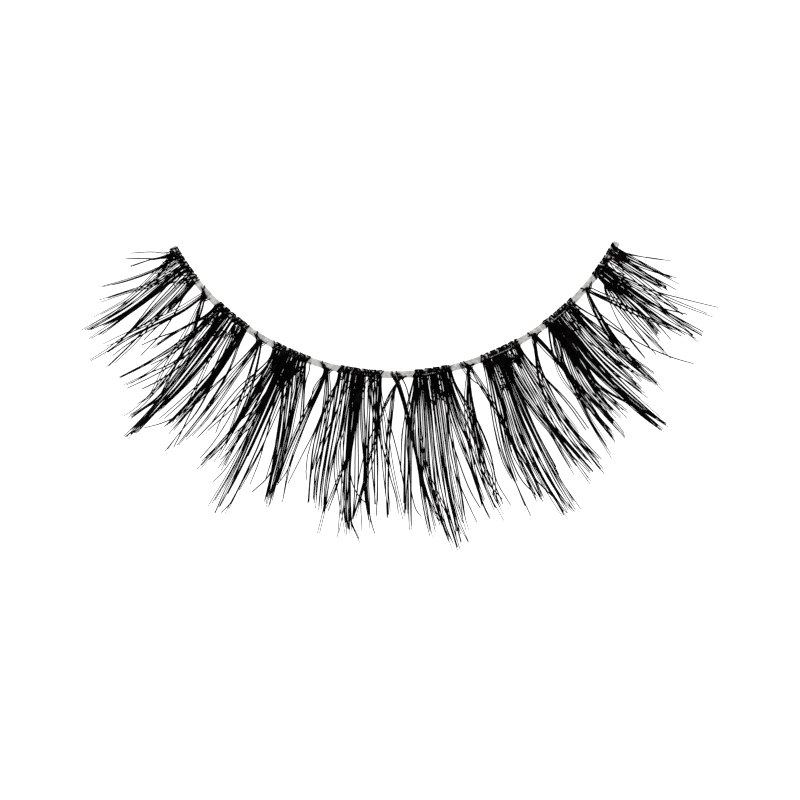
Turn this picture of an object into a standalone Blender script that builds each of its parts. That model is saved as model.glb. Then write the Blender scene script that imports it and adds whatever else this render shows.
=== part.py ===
"""A strip of false lashes: a clear curved band, eight hair clusters knotted on it and seven small tufts.

The band is an arc that lies level, with its middle nearest the viewer (-Y) and its ends further back (+Y).
Hair points away from the arc's centre: it runs low over the surface first, and then curls up to its tip.
A place on the strip is given by its angle on the arc and its reach, which is the distance out from the band.
"""

import math
from collections import namedtuple

import bmesh
import bpy
from mathutils import Vector

MM = 0.001

# The band: the arc's centre, seen from above, puts the middle of the strip's footprint on the origin
ARC_CENTRE_X = -0.28 * MM
ARC_CENTRE_Y = 17.05 * MM
BAND_RADIUS = 15.67 * MM
BAND_START = -60.1
BAND_END = 61.3
BAND_WIDTH = 0.40 * MM
BAND_THICKNESS = 0.20 * MM
BAND_EDGE = 0.03 * MM
ARC_STEP = 2.0

# The knots: a wall of wound hair round the band, with a small clearance
KNOT_WALL = 0.05 * MM
KNOT_CLEARANCE = 0.03 * MM
TUFT_WALL = 0.04 * MM
BAND_HEIGHT = BAND_THICKNESS / 2 + KNOT_CLEARANCE + KNOT_WALL
CUTTER_MARGIN = 1.0

# The root mass of a cluster: a wedge that thins from the band outward
ROOT_MASS_INSET = 0.10 * MM
ROOT_MASS_THICK = 0.28 * MM
ROOT_MASS_THIN = 0.14 * MM
ROOT_MASS_SHRINK = 0.4

# The curl: hair is low up to CURL_REACH, and its height grows with the square of the reach past that
CURL_REACH = 3.2 * MM
CURL_FULL_REACH = 11.3 * MM
CURL_HEIGHT = 4.0 * MM
TUFT_LIFT = 0.42 * MM
TUFT_LIFT_REACH = 1.3 * MM

# A lock of hair: its sweep is how late it bends toward its tip
LOCK_SWEEP = 1.35
LOCK_START = 0.12 * MM
LOCK_POINTS = 7
LOCK_TIP_WIDTH = 0.07 * MM
LOCK_TAPER = 0.8
LOCK_RESOLUTION = 1

HAIR_COLOUR = (0.012, 0.010, 0.009, 1.0)
HAIR_ROUGHNESS = 0.38
BAND_COLOUR = (0.72, 0.69, 0.65, 1.0)
BAND_ROUGHNESS = 0.32

# Angles in degrees from the middle of the arc, reach and width in millimetres
Cluster = namedtuple("Cluster", "start end mass_reach locks")
Tuft = namedtuple("Tuft", "start end legs")
Lock = namedtuple("Lock", "root tip reach width")

CLUSTERS = [
    Cluster(-59.8, -50.8, 1.6, [
        Lock(-59.2, -62.2, 2.8, 0.18),
        Lock(-58.3, -60.0, 5.1, 0.30),
        Lock(-57.1, -58.2, 5.5, 0.32),
        Lock(-55.9, -56.3, 7.4, 0.34),
        Lock(-54.8, -54.9, 7.0, 0.36),
        Lock(-53.6, -53.2, 7.2, 0.30),
        Lock(-52.4, -52.2, 6.6, 0.32),
        Lock(-51.4, -51.1, 7.8, 0.32),
    ]),
    Cluster(-43.7, -35.2, 1.5, [
        Lock(-43.2, -48.0, 5.4, 0.20),
        Lock(-42.4, -46.5, 7.5, 0.30),
        Lock(-41.5, -44.6, 7.6, 0.32),
        Lock(-40.5, -42.2, 8.6, 0.30),
        Lock(-39.4, -39.9, 10.0, 0.36),
        Lock(-38.2, -37.9, 8.2, 0.28),
        Lock(-37.0, -36.2, 7.9, 0.32),
        Lock(-35.9, -34.6, 9.1, 0.34),
    ]),
    Cluster(-28.1, -18.8, 1.5, [
        Lock(-27.5, -29.2, 9.0, 0.30),
        Lock(-26.6, -27.5, 8.1, 0.34),
        Lock(-25.6, -26.2, 9.2, 0.30),
        Lock(-24.5, -24.9, 10.9, 0.36),
        Lock(-23.4, -23.5, 10.7, 0.32),
        Lock(-22.3, -21.6, 8.6, 0.30),
        Lock(-21.1, -19.0, 9.6, 0.36),
        Lock(-19.8, -17.6, 9.5, 0.34),
    ]),
    Cluster(-12.4, -2.6, 1.4, [
        Lock(-11.7, -11.6, 8.8, 0.28),
        Lock(-10.5, -10.2, 10.3, 0.30),
        Lock(-9.3, -8.9, 8.9, 0.28),
        Lock(-8.2, -7.5, 10.3, 0.34),
        Lock(-7.1, -6.1, 10.2, 0.36),
        Lock(-5.9, -4.4, 10.4, 0.34),
        Lock(-4.6, -2.9, 9.6, 0.32),
        Lock(-3.3, -1.1, 8.8, 0.32),
    ]),
    Cluster(4.6, 13.3, 1.3, [
        Lock(5.2, 2.8, 9.7, 0.36),
        Lock(6.2, 4.8, 9.0, 0.28),
        Lock(7.2, 6.0, 10.0, 0.32),
        Lock(8.3, 7.7, 10.9, 0.32),
        Lock(9.4, 8.9, 11.3, 0.34),
        Lock(10.5, 10.2, 10.0, 0.30),
        Lock(11.6, 11.5, 9.6, 0.30),
        Lock(12.7, 12.6, 8.8, 0.30),
    ]),
    Cluster(20.0, 29.6, 1.7, [
        Lock(20.6, 19.2, 10.1, 0.28),
        Lock(21.8, 20.9, 9.1, 0.30),
        Lock(22.9, 22.2, 9.6, 0.28),
        Lock(24.0, 23.6, 11.1, 0.36),
        Lock(25.2, 25.2, 10.9, 0.36),
        Lock(26.4, 27.0, 9.0, 0.30),
        Lock(27.7, 28.6, 9.8, 0.32),
        Lock(28.9, 30.9, 9.4, 0.34),
    ]),
    Cluster(36.2, 44.9, 1.4, [
        Lock(36.8, 34.6, 8.7, 0.30),
        Lock(37.8, 36.2, 8.5, 0.32),
        Lock(38.9, 38.0, 7.5, 0.32),
        Lock(40.1, 40.9, 9.8, 0.36),
        Lock(41.2, 42.2, 9.7, 0.34),
        Lock(42.3, 43.6, 7.4, 0.30),
        Lock(43.3, 45.6, 7.7, 0.30),
        Lock(44.3, 50.8, 8.3, 0.18),
    ]),
    Cluster(51.8, 61.0, 1.5, [
        Lock(52.4, 49.8, 5.9, 0.24),
        Lock(53.4, 51.8, 6.0, 0.30),
        Lock(54.6, 54.1, 7.7, 0.34),
        Lock(55.7, 55.3, 7.5, 0.36),
        Lock(56.8, 56.6, 6.2, 0.32),
        Lock(58.0, 58.5, 7.5, 0.26),
        Lock(59.2, 60.4, 4.8, 0.34),
        Lock(60.3, 63.1, 3.5, 0.20),
    ]),
]

TUFTS = [
    Tuft(-47.6, -46.5, [
        Lock(-47.3, -51.7, 8.2, 0.24),
        Lock(-47.0, -49.6, 6.9, 0.20),
        Lock(-46.8, -41.4, 6.8, 0.24),
    ]),
    Tuft(-31.7, -30.7, [
        Lock(-31.4, -33.4, 8.4, 0.24),
        Lock(-31.2, -32.0, 7.4, 0.22),
        Lock(-31.0, -29.7, 8.3, 0.24),
    ]),
    Tuft(-15.8, -14.8, [
        Lock(-15.5, -17.8, 9.4, 0.22),
        Lock(-15.3, -15.9, 8.8, 0.24),
        Lock(-15.1, -12.5, 8.4, 0.22),
    ]),
    Tuft(-0.3, 2.5, [
        Lock(0.2, 2.4, 9.4, 0.22),
        Lock(1.1, 0.3, 8.6, 0.20),
        Lock(2.0, -1.0, 8.8, 0.24),
    ]),
    Tuft(16.3, 17.7, [
        Lock(16.7, 13.6, 9.5, 0.22),
        Lock(16.9, 15.5, 9.8, 0.24),
        Lock(17.1, 16.9, 9.2, 0.22),
        Lock(17.3, 20.4, 7.6, 0.20),
    ]),
    Tuft(32.4, 33.8, [
        Lock(32.8, 30.7, 9.0, 0.28),
        Lock(33.1, 32.1, 6.9, 0.18),
        Lock(33.4, 36.0, 8.2, 0.24),
    ]),
    Tuft(48.3, 49.3, [
        Lock(48.6, 45.2, 7.9, 0.26),
        Lock(48.8, 48.2, 6.2, 0.18),
        Lock(49.0, 53.0, 6.0, 0.24),
    ]),
]


def remove_objects():
    for old in list(bpy.data.objects):
        bpy.data.objects.remove(old)


def new_collection(name, parent):
    made = bpy.data.collections.new(name)
    parent.children.link(made)
    return made


def hair_material():
    made = bpy.data.materials.new("lash_fibre")
    made.use_nodes = True
    surface = made.node_tree.nodes["Principled BSDF"]
    surface.inputs["Base Color"].default_value = HAIR_COLOUR
    surface.inputs["Roughness"].default_value = HAIR_ROUGHNESS
    surface.inputs["Metallic"].default_value = 0.0
    return made


def band_material():
    made = bpy.data.materials.new("clear_band")
    made.use_nodes = True
    surface = made.node_tree.nodes["Principled BSDF"]
    surface.inputs["Base Color"].default_value = BAND_COLOUR
    surface.inputs["Roughness"].default_value = BAND_ROUGHNESS
    surface.inputs["Metallic"].default_value = 0.0
    surface.inputs["Transmission Weight"].default_value = 0.4
    return made


def on_strip(angle, reach, height):
    """The point at an angle in degrees and a reach out from the band's centre line."""
    turn = math.radians(angle)
    radius = BAND_RADIUS + reach
    return Vector((
        ARC_CENTRE_X + radius * math.sin(turn),
        ARC_CENTRE_Y - radius * math.cos(turn),
        height,
    ))


def curl_height(reach):
    past = max(0.0, reach - CURL_REACH) / (CURL_FULL_REACH - CURL_REACH)
    return CURL_HEIGHT * past ** 2


def chamfered_section(half_width, half_thickness, edge):
    """The corners of a flat strip's section with its edges taken off, as (reach, height) pairs."""
    flat = half_width - edge
    side = half_thickness - edge
    return [
        (flat, half_thickness),
        (-flat, half_thickness),
        (-half_width, side),
        (-half_width, -side),
        (-flat, -half_thickness),
        (flat, -half_thickness),
        (half_width, -side),
        (half_width, side),
    ]


def wedge_section(reach):
    """The root mass in section: thick at the band and thin at its outer end."""
    return [
        (reach, ROOT_MASS_THIN / 2),
        (ROOT_MASS_INSET, ROOT_MASS_THICK / 2),
        (ROOT_MASS_INSET, -ROOT_MASS_THICK / 2),
        (reach, -ROOT_MASS_THIN / 2),
    ]


def arc_mesh(name, section, start, end):
    """A closed bar: the section swept along the band's arc from start to end."""
    mesh = bmesh.new()
    corners = [mesh.verts.new(on_strip(start, reach, BAND_HEIGHT + height)) for reach, height in section]
    loop = [mesh.edges.new((a, b)) for a, b in zip(corners, corners[1:] + corners[:1])]
    bmesh.ops.spin(
        mesh,
        geom=corners + loop,
        cent=(ARC_CENTRE_X, ARC_CENTRE_Y, 0.0),
        axis=(0.0, 0.0, 1.0),
        angle=math.radians(end - start),
        steps=max(1, round((end - start) / ARC_STEP)),
    )
    bmesh.ops.holes_fill(mesh, edges=mesh.edges)
    bmesh.ops.recalc_face_normals(mesh, faces=mesh.faces)
    made = bpy.data.meshes.new(name)
    mesh.to_mesh(made)
    mesh.free()
    return made


def arc_bar(name, section, start, end, home):
    made = bpy.data.objects.new(name, arc_mesh(name, section, start, end))
    home.objects.link(made)
    return made


def as_guide(guide):
    guide.hide_render = True
    guide.display_type = "WIRE"


def lock_curve(name, lock, lift):
    """A tapered strand from the knot to its tip, lifted off the clusters by a height reached early on."""
    curve = bpy.data.curves.new(name, "CURVE")
    curve.dimensions = "3D"
    curve.bevel_depth = lock.width * MM / 2
    curve.bevel_resolution = LOCK_RESOLUTION
    curve.use_fill_caps = True
    spline = curve.splines.new("POLY")
    spline.points.add(LOCK_POINTS - 1)
    for number, point in enumerate(spline.points):
        along = number / (LOCK_POINTS - 1)
        reach = LOCK_START + along * (lock.reach * MM - LOCK_START)
        angle = lock.root + (lock.tip - lock.root) * along ** LOCK_SWEEP
        raised = lift * min(1.0, reach / TUFT_LIFT_REACH)
        place = on_strip(angle, reach, BAND_HEIGHT + raised + curl_height(reach))
        point.co = (*place, 1.0)
        thin = LOCK_TIP_WIDTH / (lock.width * MM)
        point.radius = thin + (1.0 - thin) * (1.0 - along) ** LOCK_TAPER
    return curve


def lock_solid(name, lock, lift, home):
    """The strand as a closed mesh, which a Boolean can join to its knot."""
    strand = bpy.data.objects.new(name, lock_curve(name, lock, lift))
    home.objects.link(strand)
    bpy.context.view_layer.update()
    drawn = strand.evaluated_get(bpy.context.evaluated_depsgraph_get())
    mesh = bpy.data.meshes.new_from_object(drawn)
    work = bmesh.new()
    work.from_mesh(mesh)
    bmesh.ops.remove_doubles(work, verts=work.verts, dist=0.002 * MM)
    bmesh.ops.recalc_face_normals(work, faces=work.faces)
    work.to_mesh(mesh)
    work.free()
    solid = bpy.data.objects.new(name + "_solid", mesh)
    solid.matrix_world = strand.matrix_world
    home.objects.link(solid)
    as_guide(solid)
    bpy.data.objects.remove(strand)
    return solid


def join_and_clear(knot, joined, cutter):
    """The knot fused with its locks, and then opened where the band runs through."""
    fuse = knot.modifiers.new("fuse_locks", "BOOLEAN")
    fuse.operation = "UNION"
    fuse.solver = "EXACT"
    fuse.operand_type = "COLLECTION"
    fuse.collection = joined
    opened = knot.modifiers.new("band_passage", "BOOLEAN")
    opened.operation = "DIFFERENCE"
    opened.solver = "EXACT"
    opened.object = cutter


def knot_section(wall):
    half_width = BAND_WIDTH / 2 + KNOT_CLEARANCE + wall
    half_thickness = BAND_THICKNESS / 2 + KNOT_CLEARANCE + wall
    return chamfered_section(half_width, half_thickness, BAND_EDGE + wall)


def passage_section():
    half_width = BAND_WIDTH / 2 + KNOT_CLEARANCE
    half_thickness = BAND_THICKNESS / 2 + KNOT_CLEARANCE
    return chamfered_section(half_width, half_thickness, BAND_EDGE)


def knotted_locks(name, start, end, wall, locks, lift, mass_reach, home, guides, passage):
    """One knot round the band with every lock that grows from it."""
    knot = arc_bar(name, knot_section(wall), start, end, home)
    joined = new_collection(name + "_locks", guides)
    for number, lock in enumerate(locks, 1):
        lock_solid(f"{name}_lock_{number}", lock, lift, joined)
    if mass_reach:
        mass = arc_bar(
            name + "_root_mass",
            wedge_section(mass_reach * MM),
            start + ROOT_MASS_SHRINK,
            end - ROOT_MASS_SHRINK,
            joined,
        )
        as_guide(mass)
    join_and_clear(knot, joined, passage)
    return knot


def build_band(home, material):
    section = chamfered_section(BAND_WIDTH / 2, BAND_THICKNESS / 2, BAND_EDGE)
    band = arc_bar("band", section, BAND_START, BAND_END, home)
    band.data.materials.append(material)
    return band


def build_strip():
    remove_objects()
    everything = bpy.context.scene.collection
    strip = new_collection("false_lash_strip", everything)
    guides = new_collection("guides", everything)
    fibre = hair_material()
    pieces = [build_band(strip, band_material())]

    passage = arc_bar(
        "band_passage",
        passage_section(),
        BAND_START - CUTTER_MARGIN,
        BAND_END + CUTTER_MARGIN,
        guides,
    )
    as_guide(passage)

    for number, cluster in enumerate(CLUSTERS, 1):
        knot = knotted_locks(
            f"lash_cluster_{number}",
            cluster.start,
            cluster.end,
            KNOT_WALL,
            cluster.locks,
            0.0,
            cluster.mass_reach,
            strip,
            guides,
            passage,
        )
        knot.data.materials.append(fibre)
        pieces.append(knot)

    for number, tuft in enumerate(TUFTS, 1):
        knot = knotted_locks(
            f"accent_tuft_{number}",
            tuft.start,
            tuft.end,
            TUFT_WALL,
            tuft.legs,
            TUFT_LIFT,
            None,
            strip,
            guides,
            passage,
        )
        knot.data.materials.append(fibre)
        pieces.append(knot)

    root = bpy.data.objects.new("strip_origin", None)
    strip.objects.link(root)
    for piece in pieces:
        piece.parent = root


build_strip()
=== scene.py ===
"""Looks of the false lash strip: loose tapered hairs, wound knots, a clear band and a pale lit floor."""

import math
import random
from collections import namedtuple

import bmesh
import bpy
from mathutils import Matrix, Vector
from mathutils.geometry import interpolate_bezier


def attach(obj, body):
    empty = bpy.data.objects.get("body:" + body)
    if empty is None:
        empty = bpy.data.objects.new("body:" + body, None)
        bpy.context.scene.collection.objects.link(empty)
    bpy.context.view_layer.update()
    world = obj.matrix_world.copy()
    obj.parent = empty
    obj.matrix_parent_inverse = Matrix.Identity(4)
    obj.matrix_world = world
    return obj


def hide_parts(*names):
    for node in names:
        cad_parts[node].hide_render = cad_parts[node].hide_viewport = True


MM = 0.001
SEED = 20

# The strip, as in the solids. Angles are in degrees.
ARC_CENTRE = Vector((-0.28 * MM, 17.05 * MM, 0.0))
BAND_RADIUS = 15.67 * MM
BAND_START = -60.1
BAND_END = 61.3
BAND_WIDTH = 0.40 * MM
BAND_THICKNESS = 0.20 * MM
BAND_HEIGHT = 0.18 * MM
BAND_TOP = BAND_HEIGHT + BAND_THICKNESS / 2
CURL_REACH = 3.2 * MM
CURL_FULL_REACH = 11.3 * MM
CURL_HEIGHT = 4.0 * MM

# The band's section here: a little wider, with soft corners and two shallow grooves
BAND_GROWTH = 0.02 * MM
BAND_STEPS = 240
SECTION_POINTS = 24
SIDE_POWER = 0.45
TOP_POWER = 0.55
GROOVE_DEPTH = 0.12
GROOVE_PLACE = 0.35
GROOVE_WIDTH = 0.16

# The photograph: its size, its scale, and where the arc's centre is in it
PHOTO_SIZE = 800
PHOTO_SCALE = 0.0615 * MM
PHOTO_ARC_CENTRE = (393.6, 119.9)
CAMERA_HEIGHT = 500 * MM
SENSOR_WIDTH = 36.0

# One hair: its widths, its tip, and how it differs from its neighbours. The looseness, by the hairs in a
# lock, widens the lock. Heights without a unit are in millimetres.
HAIR_WIDTH = 0.067 * MM
HAIR_TIP_WIDTH = 0.054 * MM
HAIR_TAPER_FROM = 0.75
HAIR_TAPER_POWER = 1.3
HAIR_THICKNESS = (0.85, 1.12)
HAIR_STEPS = 5
LONE_HAIR = 1.25
HAIR_CUT = 0.25 * MM
HAIR_CUT_LIMIT = 0.6
HAIR_UNEVENNESS = 0.3
HAIR_STRAY = 0.05
HAIR_HEIGHT = (-0.09, 0.10)
HAIR_CURL = (0.88, 1.0)
HAIR_LIFT = 0.13 * MM
HAIR_LIFT_REACH = (0.25, 0.5)
LOCK_LOOSENESS = {1: 0.0, 2: 2.0, 3: 1.5, 4: 1.15, 5: 1.15}
LOCK_END_SHARE = 0.7
LOCK_BULGE = 0.3

# The dense mass at a cluster's roots, made of short strands. The slant and the margin are in degrees, and
# the lengths, the root and the heights in millimetres.
MASS_PER_DEGREE = 6
MASS_SLANT = 1.6
MASS_LENGTH = 1.3
MASS_LENGTH_SHARE = (0.5, 1.0)
MASS_LEAST_LENGTH = 0.1
MASS_MARGIN = 0.15
MASS_ROOT = 0.1
MASS_ROOT_SHARE = 0.7
MASS_HEIGHT = (-0.10, 0.12)
MASS_STEPS = 5
MASS_BEND_POWER = 0.8
MASS_TAPER = 0.6
MASS_TAPER_FROM = 0.6

# The knots: turns wound round the band, and dashes of hair along its top. ARM_REACH, DASH_SLANT and
# DASH_REACHES are in millimetres, and the other distances without a unit are degrees.
WRAP_PITCH = 0.30
WRAP_PITCH_SHARE = (0.7, 1.3)
WRAP_SLANT = 1.1
WRAP_SLANT_SHARE = (0.2, 1.2)
WRAP_WIDTH = 0.085 * MM
WRAP_ROOM = 0.045 * MM
WRAP_POINTS = 12
WRAP_GAP_SHARE = 0.12
WRAP_FIRST = 0.15
WRAP_LAST = 0.1
ARM_REACH = 1.0
ARM_GROWTH = 0.4
DASH_LENGTH = 1.2
DASH_LENGTH_SHARE = (0.5, 1.3)
DASH_GAP = 0.35
DASH_GAP_SHARE = (0.6, 1.8)
DASH_LAST = 0.4
DASH_STEPS = 4
DASH_SLANT = 0.05
DASH_RISE = 0.02 * MM
DASH_REACHES = (-0.23, -0.08, 0.12)

# Where a clear thread shows on the knots, near the band's outer edge
THREAD_SPANS = [(6.4, 9.4), (22.2, 27.4), (38.0, 42.0)]
THREAD_STEPS = 12
THREAD_REACH = 0.10 * MM
THREAD_RISE = 0.055 * MM
THREAD_WIDTH = 0.05 * MM

# The floor and the light
FLOOR_SIZE = 600 * MM
FLOOR_GLOW = 1.1
WORLD_LIGHT = 0.45
SOFTBOX_COUNT = 4
SOFTBOX_SIZE = 0.30
SOFTBOX_POWER = 0.45
SOFTBOX_DISTANCE = 0.35
SOFTBOX_HEIGHT = 0.38

# A lock is one hair along a route, or a few side by side, whose outer hairs lie about spread times the
# looseness, in degrees, beside the route. The places of a route, and of the outline of a bunch's dense mass,
# are (angle, reach): degrees from the middle of the arc and millimetres out from the band, read off the
# photograph.
Lock = namedtuple("Lock", "route hairs spread", defaults=(1, 0))
Bunch = namedtuple("Bunch", "node start end mass locks")

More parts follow.
